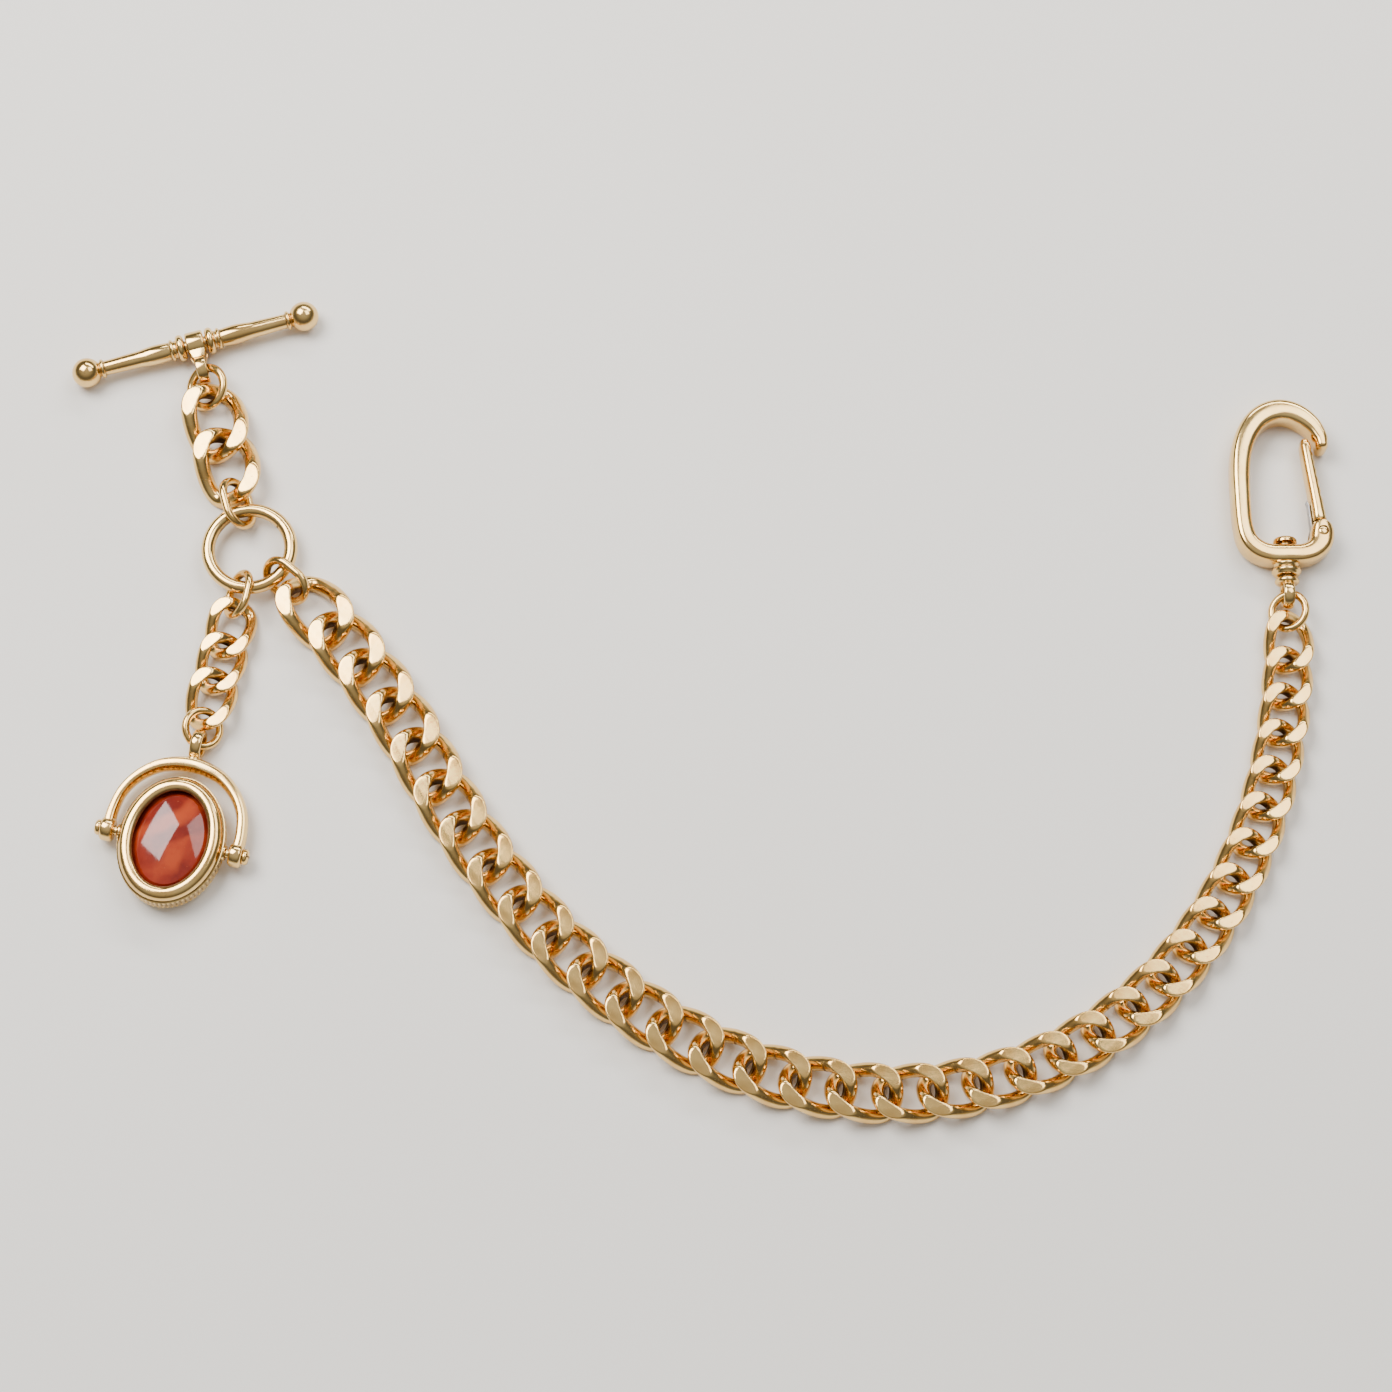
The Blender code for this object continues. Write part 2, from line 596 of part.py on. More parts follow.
def build_centre_ring(walker, mat):
    """The ring that gathers the T-bar, the main chain and the drop; returns it and its centre."""
    reach = CENTRE_RING_RADIUS - CENTRE_RING_WIRE - RING_SLACK
    height = BIG_OVAL[1] * math.sin(math.radians(BIG_OVAL[3])) + BIG_OVAL[2]
    path = []
    for i in range(24):
        angle = math.tau * i / 24
        path.append(Vector((reach - PIVOT_AT_RING_ABOVE + CENTRE_RING_RADIUS * math.cos(angle),
                            CENTRE_RING_RADIUS * math.sin(angle), 0)))
    rise = height - (walker.last_height + height) / 2
    mesh = sloped(wire_loop("centre_ring", path, CENTRE_RING_WIRE), rise, 0.0)
    ring = walker.add(link_object("centre_ring", mesh, mat), TOGGLE_HEADING, 0.0, height, reach,
                      pivot=PIVOT_AT_RING_ABOVE)
    return ring, Vector((walker.point.x, walker.point.y, height)), reach


def leave_ring(ring, centre, reach, angle):
    walker = Walker(centre + direction(angle) * reach, ring)
    walker.last_height = centre.z
    return walker


def build_toggle_run(gilt, bright):
    bar = build_toggle_bar(bright)
    collar = build_collar(bar, bright)
    eye = Vector((BAR_X, BAR_Y, BAR_BALL)) + direction(TOGGLE_HEADING) * COLLAR_REACH
    walker = Walker(eye, collar)
    add_round_ring(walker, "bar_ring", BAR_RING, TOGGLE_HEADING, gilt, True, False, BAR_BALL)
    for number in (1, 2):
        add_curb_link(walker, "toggle_link_%d" % number, TOGGLE_LINK_WIRE, TOGGLE_HEADING, gilt)
    add_oval_ring(walker, "upper_ring", BIG_OVAL, -1, TOGGLE_HEADING, gilt, PIVOT_UPPER_RING)
    return build_centre_ring(walker, bright)


def build_main_run(ring, centre, reach, gilt, bright, steel):
    walker = leave_ring(ring, centre, reach, MAIN_LEAVES_RING_AT)
    add_oval_ring(walker, "main_ring", BIG_OVAL, 1, MAIN_LEAVES_RING_AT, gilt, PIVOT_ON_RING)
    for index in range(1, LINK_COUNT + 1):
        share = (index - 1) / (LINK_COUNT - 1)
        wire = LINK_WIRE_LARGE + (LINK_WIRE_SMALL - LINK_WIRE_LARGE) * share
        pivot = PIVOT_MAIN_LINK if index == 1 else 0.0
        add_curb_link(walker, "link_%02d" % index, wire, main_link_heading(index), gilt, 0.0, pivot)
    add_round_ring(walker, "end_ring", END_RING, CLASP_HEADING, gilt, False, True,
                   CLASP_HALF_THICK, PIVOT_END_RING)
    build_swivel_eye(walker, bright)
    body = build_clasp_body(walker, bright)
    build_gate(body, bright, bright, steel)


def build_drop_run(ring, centre, reach, gilt, bright, stone):
    walker = leave_ring(ring, centre, reach, DROP_LEAVES_RING_AT)
    add_oval_ring(walker, "drop_ring", SMALL_OVAL, 1, DROP_LEAVES_RING_AT, gilt, PIVOT_ON_RING)
    for number, lift in ((1, 0.0), (2, 0.1 * MM), (3, 0.40 * MM)):
        pivot = PIVOT_DROP_LINK if number == 1 else 0.0
        name = "drop_link_%d" % number
        add_curb_link(walker, name, DROP_LINK_WIRE, DROP_HEADING, gilt, lift, pivot)
    add_round_ring(walker, "fob_ring", FOB_RING, DROP_HEADING, gilt, False, True,
                   FOB_HALF_THICK - 0.10 * MM)
    stirrup = build_stirrup(walker, bright)
    pivot_point = Vector((walker.point.x, walker.point.y, FOB_HALF_THICK))
    build_pivots(stirrup, pivot_point, bright)
    bezel = build_bezel(stirrup, pivot_point, bright)
    build_stone(bezel, pivot_point, stone)


def main():
    clear_scene()
    gilt = material("gilt_brass", (0.78, 0.56, 0.24), 1.0, 0.26)
    bright = material("gilt_brass_fittings", (0.82, 0.60, 0.27), 1.0, 0.20)
    steel = material("spring_steel", (0.55, 0.55, 0.56), 1.0, 0.35)
    stone = material("carnelian", (0.45, 0.07, 0.02), 0.0, 0.08)
    ring, centre, reach = build_toggle_run(gilt, bright)
    build_main_run(ring, centre, reach, gilt, bright, steel)
    build_drop_run(ring, centre, reach, gilt, bright, stone)


main()
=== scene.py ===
"""Looks of the pocket watch chain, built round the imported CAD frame. Metres, same frame."""
import json
import math
import random

import bmesh
import bpy
import numpy as np
from mathutils import Matrix, Vector

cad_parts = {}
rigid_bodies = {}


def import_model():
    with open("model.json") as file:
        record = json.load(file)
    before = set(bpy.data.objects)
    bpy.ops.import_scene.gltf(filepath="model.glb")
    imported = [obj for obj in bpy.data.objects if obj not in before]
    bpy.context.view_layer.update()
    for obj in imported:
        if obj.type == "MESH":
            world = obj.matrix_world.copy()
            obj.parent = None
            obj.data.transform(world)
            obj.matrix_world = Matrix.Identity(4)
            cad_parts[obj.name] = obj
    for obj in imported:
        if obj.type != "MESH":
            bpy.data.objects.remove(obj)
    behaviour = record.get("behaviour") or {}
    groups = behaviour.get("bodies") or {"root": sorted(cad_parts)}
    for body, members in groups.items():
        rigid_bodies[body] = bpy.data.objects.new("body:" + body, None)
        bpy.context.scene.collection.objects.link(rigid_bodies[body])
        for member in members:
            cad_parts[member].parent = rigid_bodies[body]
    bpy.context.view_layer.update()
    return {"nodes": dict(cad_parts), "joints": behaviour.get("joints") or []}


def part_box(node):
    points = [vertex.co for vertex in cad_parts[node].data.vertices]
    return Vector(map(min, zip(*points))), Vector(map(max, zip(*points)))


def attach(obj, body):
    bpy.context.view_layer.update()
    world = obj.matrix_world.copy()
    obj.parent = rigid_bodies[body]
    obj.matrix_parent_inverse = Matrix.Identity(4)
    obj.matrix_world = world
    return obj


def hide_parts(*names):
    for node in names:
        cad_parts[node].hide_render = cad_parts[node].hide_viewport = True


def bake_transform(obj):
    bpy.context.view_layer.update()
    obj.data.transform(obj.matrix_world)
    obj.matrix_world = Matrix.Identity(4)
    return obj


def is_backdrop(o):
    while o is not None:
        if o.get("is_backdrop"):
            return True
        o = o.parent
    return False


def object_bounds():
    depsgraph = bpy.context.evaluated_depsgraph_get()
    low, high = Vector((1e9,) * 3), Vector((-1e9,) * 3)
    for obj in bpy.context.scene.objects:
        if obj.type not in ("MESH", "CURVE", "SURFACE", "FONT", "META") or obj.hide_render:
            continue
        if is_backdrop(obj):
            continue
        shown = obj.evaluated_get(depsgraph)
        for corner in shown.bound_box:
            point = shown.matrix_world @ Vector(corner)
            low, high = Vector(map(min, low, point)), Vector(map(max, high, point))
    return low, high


MM = 0.001
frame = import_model()

JOINT_OF = {joint["child"]: joint for joint in frame["joints"]}
CHILDREN = {}
for joint in frame["joints"]:
    CHILDREN.setdefault(joint["parent"], []).append(joint["child"])


# ---------------------------------------------------------------- places

def joint_point(body):
    return Vector(JOINT_OF[body]["pos_m"])


def heading_between(first, second):
    step = second - first
    return math.atan2(step.y, step.x)


def centre_of(node):
    low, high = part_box(node)
    return (low + high) / 2


def link_place(node):
    """Centre of a link or ring and its heading, from its own joint and its child's."""
    heading = heading_between(joint_point(node), joint_point(CHILDREN[node][0]))
    return centre_of(node), heading


def put(obj, location, heading, tilt=0.0):
    obj.location = location
    obj.rotation_euler = (tilt, 0.0, heading)


def in_metres(rows):
    """Rows of numbers in millimetres as tuples in metres."""
    return [tuple(value * MM for value in row) for row in rows]


# ---------------------------------------------------------------- meshes

def add_float_attribute(mesh, name, values):
    attribute = mesh.attributes.new(name, "FLOAT", "POINT")
    attribute.data.foreach_set("value", np.asarray(values, dtype=np.float32))


def mesh_from_grid(name, grid, closed_along=True, attributes=None, caps=False):
    """Mesh from points (along, across, 3), closed across, with optional per-point values."""
    along, across = grid.shape[:2]
    points = [tuple(p) for p in grid.reshape(-1, 3)]
    faces = []
    for i in range(along if closed_along else along - 1):
        nxt = (i + 1) % along
        for j in range(across):
            k = (j + 1) % across
            faces.append((i * across + j, i * across + k, nxt * across + k, nxt * across + j))
    if caps:
        faces.append(tuple(range(across - 1, -1, -1)))
        faces.append(tuple((along - 1) * across + j for j in range(across)))
    mesh = bpy.data.meshes.new(name)
    mesh.from_pydata(points, [], faces)
    for key, values in (attributes or {}).items():
        add_float_attribute(mesh, key, np.asarray(values).reshape(-1))
    fix_normals(mesh)
    return mesh


def fix_normals(mesh, weld_within=None):
    bm = bmesh.new()
    bm.from_mesh(mesh)
    if weld_within is not None:
        bmesh.ops.remove_doubles(bm, verts=bm.verts, dist=weld_within)
    bmesh.ops.recalc_face_normals(bm, faces=bm.faces)
    bm.to_mesh(mesh)
    bm.free()


def make_object(name, mesh, mat, sharp=None):
    mesh.materials.clear()
    mesh.materials.append(mat)
    mesh.shade_smooth()
    if sharp is not None:
        mesh.set_sharp_from_angle(angle=math.radians(sharp))
    obj = bpy.data.objects.new(name, mesh)
    bpy.context.scene.collection.objects.link(obj)
    return obj


WELD_WITHIN = 1e-7         # metres; joins the doubled points at poles and along seams


def soft_limit(values, limit, softness):
    """Clamp to +-limit with a small fillet where the flat begins."""
    size = np.abs(values)
    return np.sign(values) * -softness * np.logaddexp(-size / softness, -limit / softness)


def sweep_closed(path, radius, sides):
    """Round sections of a closed path that never runs straight up; returns points and angles."""
    count = len(path)
    tangent = np.roll(path, -1, 0) - np.roll(path, 1, 0)
    tangent /= np.linalg.norm(tangent, axis=1)[:, None]
    across = np.cross(tangent, [0.0, 0.0, 1.0])
    across /= np.linalg.norm(across, axis=1)[:, None]
    up = np.cross(across, tangent)
    angles = np.arange(sides) * math.tau / sides
    radius = radius[:, None, None]
    grid = (path[:, None, :] + across[:, None, :] * radius * np.cos(angles)[None, :, None]
            + up[:, None, :] * radius * np.sin(angles)[None, :, None])
    return grid, np.broadcast_to(angles, (count, sides))


def smooth_path(points, count):
    """Catmull-Rom through rows of any width, resampled to count rows."""
    points = np.asarray(points, float)
    padded = np.vstack([2 * points[0] - points[1], points, 2 * points[-1] - points[-2]])
    rows = []
    spans = len(points) - 1
    for t in np.linspace(0, spans - 1e-9, count):
        i = int(t)
        u = t - i
        p0, p1, p2, p3 = padded[i:i + 4]
        rows.append(0.5 * (2 * p1 + (p2 - p0) * u + (2 * p0 - 5 * p1 + 4 * p2 - p3) * u * u
                           + (3 * p1 - p0 - 3 * p2 + p3) * u ** 3))
    return np.array(rows)


def superellipse(half_width, half_height, exponent, sides):
    angles = (np.arange(sides) + 0.5) * math.tau / sides
    c, s = np.cos(angles), np.sin(angles)
    power = 2.0 / exponent
    return np.stack([np.sign(c) * np.abs(c) ** power * half_width,
                     np.sign(s) * np.abs(s) ** power * half_height], 1)


END_STEPS = 8              # sections in the rounded end of a bar
END_REACH = 0.9            # how far it reaches out, as a share of the half width
END_LEAST = 0.12           # its last section's share of the half width
END_HEIGHT = 0.35          # the share of the half height that is left at the very end


def flat_sweep(name, rows, exponent, sides, count, round_ends=(True, True), shape=None):
    """Bar in the chain's plane through rows of (x, y, half width, half height).

    shape, if given, changes a section from its place along the bar, 0 to 1.
    """
    path = smooth_path(rows, count)
    tangent = np.gradient(path[:, :2], axis=0)
    tangent /= np.linalg.norm(tangent, axis=1)[:, None]
    stations = [(row[:2], way, row[2], row[3]) for row, way in zip(path, tangent)]
    for end, wanted in ((0, round_ends[0]), (-1, round_ends[1])):
        if not wanted:
            continue
        point, direction, width, height = stations[end]
        extra = []
        for step in range(1, END_STEPS):
            angle = step / END_STEPS * math.pi / 2
            out = direction * (-1 if end == 0 else 1) * math.sin(angle) * width * END_REACH
            shrink = max(math.cos(angle), END_LEAST)
            extra.append((point + out, direction, width * shrink,
                          height * (END_HEIGHT + (1 - END_HEIGHT) * shrink)))
        stations = extra[::-1] + stations if end == 0 else stations + extra
    grid = []
    for index, (point, direction, width, height) in enumerate(stations):
        across = np.array([direction[1], -direction[0]])
        section = superellipse(width, height, exponent, sides)
        if shape:
            section = shape(section, index / (len(stations) - 1), width, height)
        ring = np.zeros((sides, 3))
        ring[:, :2] = point + section[:, :1] * across
        ring[:, 2] = section[:, 1]
        grid.append(ring)
    return mesh_from_grid(name, np.array(grid), closed_along=False, caps=True)


def turned_grid(profile, sides, axis):
    """Points of (along, radius) pairs turned about an axis."""
    angles = np.arange(sides) * math.tau / sides
    profile = np.array(profile, float)
    a = profile[:, 1][:, None] * np.cos(angles)
    b = profile[:, 1][:, None] * np.sin(angles)
    along = np.broadcast_to(profile[:, 0][:, None], a.shape)
    order = {"x": (along, a, b), "y": (a, along, b), "z": (a, b, along)}[axis]
    return np.stack(order, 2)


def lathe(name, profile, sides, axis="x"):
    """Turned solid; the zero radii at both ends of the profile close it."""
    mesh = mesh_from_grid(name, turned_grid(profile, sides, axis), closed_along=False)
    fix_normals(mesh, WELD_WITHIN)
    return mesh


def turned_ring(name, section, axis, sides=72):
    """Closed section turned about an axis."""
    return mesh_from_grid(name, turned_grid(section, sides, axis))


def arc(centre_along, centre_radius, radius, start, end, count):
    """Points of an arc in the turning plane, angles in degrees from the axis direction."""
    out = []
    for degrees in np.linspace(start, end, count):
        angle = math.radians(degrees)
        out.append((centre_along + radius * math.cos(angle),
                    centre_radius + radius * math.sin(angle)))
    return out


def cut(obj, mesh, operation="DIFFERENCE"):
    """Boolean with a throwaway shape given in the object's own frame, applied at once."""
    tool = bpy.data.objects.new("tool", mesh)
    bpy.context.scene.collection.objects.link(tool)
    modifier = obj.modifiers.new("cut", "BOOLEAN")
    modifier.operation = operation
    modifier.solver = "EXACT"
    modifier.object = tool
    result = bpy.data.meshes.new_from_object(
        obj.evaluated_get(bpy.context.evaluated_depsgraph_get()))
    obj.modifiers.clear()
    obj.data = result
    bpy.data.objects.remove(tool)


def outline_solid(name, outline, holes, thickness, bevel, steps):
    """Flat solid in local x-y from a 2D outline with round holes, edges rounded."""
    curve = bpy.data.curves.new(name, "CURVE")
    curve.dimensions = "2D"
    curve.fill_mode = "BOTH"
    curve.extrude = thickness / 2 - bevel
    curve.bevel_depth = bevel
    curve.bevel_resolution = steps
    curve.offset = -bevel
    loops = [outline]
    for cx, cy, radius in holes:
        loops.append([(cx + radius * math.cos(t), cy + radius * math.sin(t))
                      for t in np.arange(48) * math.tau / 48])
    for loop in loops:
        spline = curve.splines.new("POLY")
        spline.points.add(len(loop) - 1)
        for point, (x, y) in zip(spline.points, loop):
            point.co = (x, y, 0, 1)
        spline.use_cyclic_u = True
    carrier = bpy.data.objects.new(name, curve)
    bpy.context.scene.collection.objects.link(carrier)
    mesh = bpy.data.meshes.new_from_object(
        carrier.evaluated_get(bpy.context.evaluated_depsgraph_get()))
    bpy.data.objects.remove(carrier)
    fix_normals(mesh, WELD_WITHIN)
    return mesh


def stand_up(mesh):
    """Turn a solid made in x-y so that its flat sides face +-y and its outline is in x-z."""
    mesh.transform(Matrix.Rotation(math.pi / 2, 4, "X"))
    return mesh


def shift(mesh, x, y=0.0):
    mesh.transform(Matrix.Translation((x, y, 0.0)))
    return mesh


# ---------------------------------------------------------------- materials

MIX_FACTOR, MIX_RESULT = 0, 0                       # sockets of a float mix
MIX_FIRST, MIX_SECOND = 2, 3
COLOR_FIRST, COLOR_SECOND, COLOR_RESULT = 6, 7, 2    # sockets of a colour mix


def node_tools(name):
    mat = bpy.data.materials.new(name)
    mat.use_nodes = True
    tree = mat.node_tree
    shader = tree.nodes["Principled BSDF"]

    def new(kind, **settings):
        node = tree.nodes.new(kind)
        for key, value in settings.items():
            if key in node.inputs:
                node.inputs[key].default_value = value
            else:
                setattr(node, key, value)
        return node

    return mat, tree, shader, new


def mix_color(new, tree, factor, first, second):
    node = new("ShaderNodeMix", data_type="RGBA", blend_type="MIX")
    link_or_set(tree, factor, node.inputs[MIX_FACTOR])
    link_or_set(tree, first, node.inputs[COLOR_FIRST])
    link_or_set(tree, second, node.inputs[COLOR_SECOND])
    return node.outputs[COLOR_RESULT]


def link_or_set(tree, source, socket):
    """Join a socket to the node output given, or set it to the number or colour given."""
    if hasattr(source, "is_output"):
        tree.links.new(source, socket)
    elif isinstance(source, tuple):
        socket.default_value = (*source, 1.0) if len(source) == 3 else source
    else:
        socket.default_value = source


def math_node(new, tree, operation, *values):
    node = new("ShaderNodeMath", operation=operation)
    for index, value in enumerate(values):
        link_or_set(tree, value, node.inputs[index])
    return node.outputs[0]


def ramp(new, tree, source, low, high, low_value=0.0, high_value=1.0):
    node = new("ShaderNodeMapRange", interpolation_type="SMOOTHSTEP")
    tree.links.new(source, node.inputs["Value"])
    node.inputs["From Min"].default_value = low
    node.inputs["From Max"].default_value = high
    node.inputs["To Min"].default_value = low_value
    node.inputs["To Max"].default_value = high_value
    return node.outputs["Result"]


def noise_at(new, tree, coords, scale, detail=4.0, rough=0.55, stretch=None):
    vector = coords
    if stretch:
        mapping = new("ShaderNodeMapping")
        mapping.inputs["Scale"].default_value = stretch
        tree.links.new(coords, mapping.inputs["Vector"])
        vector = mapping.outputs[0]
    node = new("ShaderNodeTexNoise")
    node.inputs["Scale"].default_value = scale
    node.inputs["Detail"].default_value = detail
    node.inputs["Roughness"].default_value = rough
    tree.links.new(vector, node.inputs["Vector"])
    return node.outputs["Fac"]


def add_bump(new, tree, shader, height, strength, distance):
    bump = new("ShaderNodeBump")
    bump.inputs["Strength"].default_value = strength
    bump.inputs["Distance"].default_value = distance
    tree.links.new(height, bump.inputs["Height"])
    tree.links.new(bump.outputs[0], shader.inputs["Normal"])


TARNISH_ROUGHNESS = 0.52


def gilt_metal(name, color, deep, tarnish, base_roughness, scratch_strength):
    """Worn polished gilt brass: tarnish in the recesses, wipes and fine scratches on the faces."""
    mat, tree, shader, new = node_tools(name)
    coords = new("ShaderNodeTexCoord").outputs["Object"]
    recess = new("ShaderNodeAttribute", attribute_name="recess").outputs["Fac"]
    cloud = noise_at(new, tree, coords, 260.0, 3.0)
    fine = noise_at(new, tree, coords, 1500.0, 4.0, 0.6)
    tone = mix_color(new, tree, ramp(new, tree, cloud, 0.35, 0.68), color, deep)
    dirt_edge = math_node(new, tree, "ADD", recess, math_node(
        new, tree, "MULTIPLY", math_node(new, tree, "SUBTRACT", fine, 0.5), 0.55))
    dirt = ramp(new, tree, dirt_edge, 0.34, 1.0)
    speck = ramp(new, tree, noise_at(new, tree, coords, 3200.0, 2.0), 0.66, 0.74)
    dirt_all = math_node(new, tree, "MAXIMUM", dirt, math_node(new, tree, "MULTIPLY", speck, 0.35))
    tree.links.new(mix_color(new, tree, dirt_all, tone, tarnish), shader.inputs["Base Color"])
    shader.inputs["Metallic"].default_value = 1.0
    wipe = noise_at(new, tree, coords, 420.0, 5.0, 0.6, (0.35, 1.6, 1.0))
    rough_clean = ramp(new, tree, wipe, 0.3, 0.75, base_roughness * 0.7, base_roughness * 1.55)
    rough = new("ShaderNodeMix", data_type="FLOAT")
    tree.links.new(dirt_all, rough.inputs[MIX_FACTOR])
    tree.links.new(rough_clean, rough.inputs[MIX_FIRST])
    rough.inputs[MIX_SECOND].default_value = TARNISH_ROUGHNESS
    tree.links.new(rough.outputs[MIX_RESULT], shader.inputs["Roughness"])
    lines_a = noise_at(new, tree, coords, 900.0, 2.0, 0.5, (0.12, 4.0, 1.5))
    lines_b = noise_at(new, tree, coords, 700.0, 2.0, 0.5, (3.2, 0.3, 2.0))
    scratches = math_node(new, tree, "ADD", lines_a, math_node(new, tree, "MULTIPLY", lines_b, 0.6))
    height = math_node(new, tree, "ADD", math_node(new, tree, "MULTIPLY", scratches, 0.5),
                       math_node(new, tree, "MULTIPLY", fine, 0.35))
    add_bump(new, tree, shader, height, strength=scratch_strength, distance=0.00004)
    return mat


STEEL_GREY, STEEL_STRAW = (0.40, 0.41, 0.44), (0.33, 0.30, 0.27)


def spring_steel():
    """Drawn steel with grain along the leaf and a faint heat colour."""
    mat, tree, shader, new = node_tools("spring_steel")
    coords = new("ShaderNodeTexCoord").outputs["Object"]
    grain = noise_at(new, tree, coords, 900.0, 4.0, 0.6, (0.2, 3.0, 3.0))
    heat = noise_at(new, tree, coords, 160.0, 2.0)
    base = mix_color(new, tree, ramp(new, tree, heat, 0.35, 0.65), STEEL_GREY, STEEL_STRAW)
    tree.links.new(base, shader.inputs["Base Color"])
    shader.inputs["Metallic"].default_value = 1.0
    tree.links.new(ramp(new, tree, grain, 0.3, 0.7, 0.24, 0.42), shader.inputs["Roughness"])
    add_bump(new, tree, shader, grain, strength=0.25, distance=0.00003)
    return mat


STONE_DEEP, STONE_ORANGE = (0.16, 0.010, 0.005), (0.40, 0.050, 0.012)
# STONE_GLINT is the colour of painted glints, brighter than the stone's body.
STONE_CLOUD, STONE_GLINT = (0.27, 0.022, 0.008), (0.55, 0.15, 0.05)


def carnelian():
    """Polished red-orange chalcedony with soft bands and a few faint painted glints."""
    mat, tree, shader, new = node_tools("carnelian")
    coords = new("ShaderNodeTexCoord").outputs["Object"]
    warp = new("ShaderNodeTexNoise")
    warp.inputs["Scale"].default_value = 180.0
    warp.inputs["Detail"].default_value = 3.0
    tree.links.new(coords, warp.inputs["Vector"])
    offset = new("ShaderNodeVectorMath", operation="SCALE")
    offset.inputs["Scale"].default_value = 0.0035
    tree.links.new(warp.outputs["Color"], offset.inputs[0])
    bent = new("ShaderNodeVectorMath", operation="ADD")
    tree.links.new(coords, bent.inputs[0])
    tree.links.new(offset.outputs[0], bent.inputs[1])
    bands = new("ShaderNodeTexWave", wave_type="BANDS", bands_direction="DIAGONAL")
    bands.inputs["Scale"].default_value = 95.0
    bands.inputs["Distortion"].default_value = 1.6
    bands.inputs["Detail"].default_value = 3.0
    tree.links.new(bent.outputs[0], bands.inputs["Vector"])
    cloud = noise_at(new, tree, coords, 240.0, 5.0, 0.6)
    body = mix_color(new, tree, ramp(new, tree, bands.outputs["Fac"], 0.15, 0.95),
                     STONE_DEEP, STONE_ORANGE)
    body = mix_color(new, tree, ramp(new, tree, cloud, 0.38, 0.72), body, STONE_CLOUD)
    # Painted glints: a few small specks in the base colour lightened towards STONE_GLINT.
    glint = ramp(new, tree, noise_at(new, tree, coords, 2600.0, 2.0), 0.70, 0.78)
    body = mix_color(new, tree, math_node(new, tree, "MULTIPLY", glint, 0.3), body, STONE_GLINT)
    tree.links.new(body, shader.inputs["Base Color"])
    shader.inputs["Subsurface Weight"].default_value = 0.15
    shader.inputs["Subsurface Radius"].default_value = (0.0022, 0.0006, 0.0003)
    shader.inputs["Subsurface Scale"].default_value = 1.0
    shader.inputs["IOR"].default_value = 1.54
    scuffs = noise_at(new, tree, coords, 600.0, 4.0, 0.6, (0.3, 2.0, 1.0))
    tree.links.new(ramp(new, tree, scuffs, 0.35, 0.8, 0.045, 0.13), shader.inputs["Roughness"])
    return mat


FLOOR_LIGHT, FLOOR_WARM = (0.90, 0.875, 0.835), (0.88, 0.85, 0.805)


def floor_material():
    mat, tree, shader, new = node_tools("pale_floor")
    coords = new("ShaderNodeTexCoord").outputs["Object"]
    grain = noise_at(new, tree, coords, 900.0, 5.0, 0.6)
    tone = noise_at(new, tree, coords, 9.0, 2.0)
    base = mix_color(new, tree, ramp(new, tree, tone, 0.3, 0.7), FLOOR_LIGHT, FLOOR_WARM)
    tree.links.new(base, shader.inputs["Base Color"])
    shader.inputs["Roughness"].default_value = 0.75
    add_bump(new, tree, shader, grain, strength=0.12, distance=0.0001)
    return mat


GILT = gilt_metal("gilt_brass", color=(0.88, 0.59, 0.215), deep=(0.78, 0.475, 0.15),
                  tarnish=(0.12, 0.060, 0.022), base_roughness=0.16, scratch_strength=0.20)
BRIGHT = gilt_metal("gilt_brass_fittings", color=(0.90, 0.62, 0.24), deep=(0.82, 0.52, 0.18),
                    tarnish=(0.14, 0.075, 0.028), base_roughness=0.13, scratch_strength=0.13)
STEEL = spring_steel()
STONE = carnelian()


# ---------------------------------------------------------------- links and rings

# Shape of a curb link; its lengths are multiples of its wire radius in the CAD.
CURB_HALF_LENGTH = 4.2
CURB_HALF_WIDTH = 3.0
CURB_TWIST = 1.45          # height of the twist's wave
CURB_SQUARENESS = 0.025    # fills out the oval's corners
CURB_FLAT = 1.75           # height of the ground flats
SEAM_SIDE = math.pi / 2    # the soldered joint lies on a long side
# The smooth wire of links and of rings as a share of the CAD's faceted wire, so that
# neighbours don't touch at the joints' limits.
ROUND_WIRE = 0.965
RING_WIRE = 0.935


def seam_at(t, where, width):
    """1 on the soldered joint of a loop, 0 away from it."""
    gap = (t - where + math.pi) % math.tau - math.pi
    return np.exp(-(gap / width) ** 2)


def curb_mesh(name, wire, seed, around=120, sides=28):
    """Twisted oval of round wire with ground flats above and below, tarnished inside."""
    rng = random.Random(seed)
    t = np.arange(around) * math.tau / around
    k = CURB_SQUARENESS
    path = np.stack([CURB_HALF_LENGTH * ((1 + k) * np.cos(t) - k * np.cos(3 * t)),
                     CURB_HALF_WIDTH * ((1 + k) * np.sin(t) + k * np.sin(3 * t)),
                     CURB_TWIST * np.sin(2 * t)], 1) * wire
    seam = seam_at(t, SEAM_SIDE + rng.uniform(-0.25, 0.25), 0.035)
    thick = ROUND_WIRE * wire * (1 + 0.008 * np.sin(3 * t + rng.uniform(0, 6)) - 0.02 * seam)
    grid, angles = sweep_closed(path, thick, sides)
    flat = CURB_FLAT * wire * rng.uniform(0.985, 1.0)
    grid[:, :, 2] = soft_limit(grid[:, :, 2], flat, 0.035 * wire)
    inward = np.clip(-np.cos(angles), 0, 1) ** 1.4
    ends = np.abs(np.cos(t))[:, None] ** 3
    recess = np.clip(inward * (0.50 + 0.55 * ends) + 0.55 * seam[:, None], 0, 1)
    return mesh_from_grid(name, grid, attributes={"recess": recess})


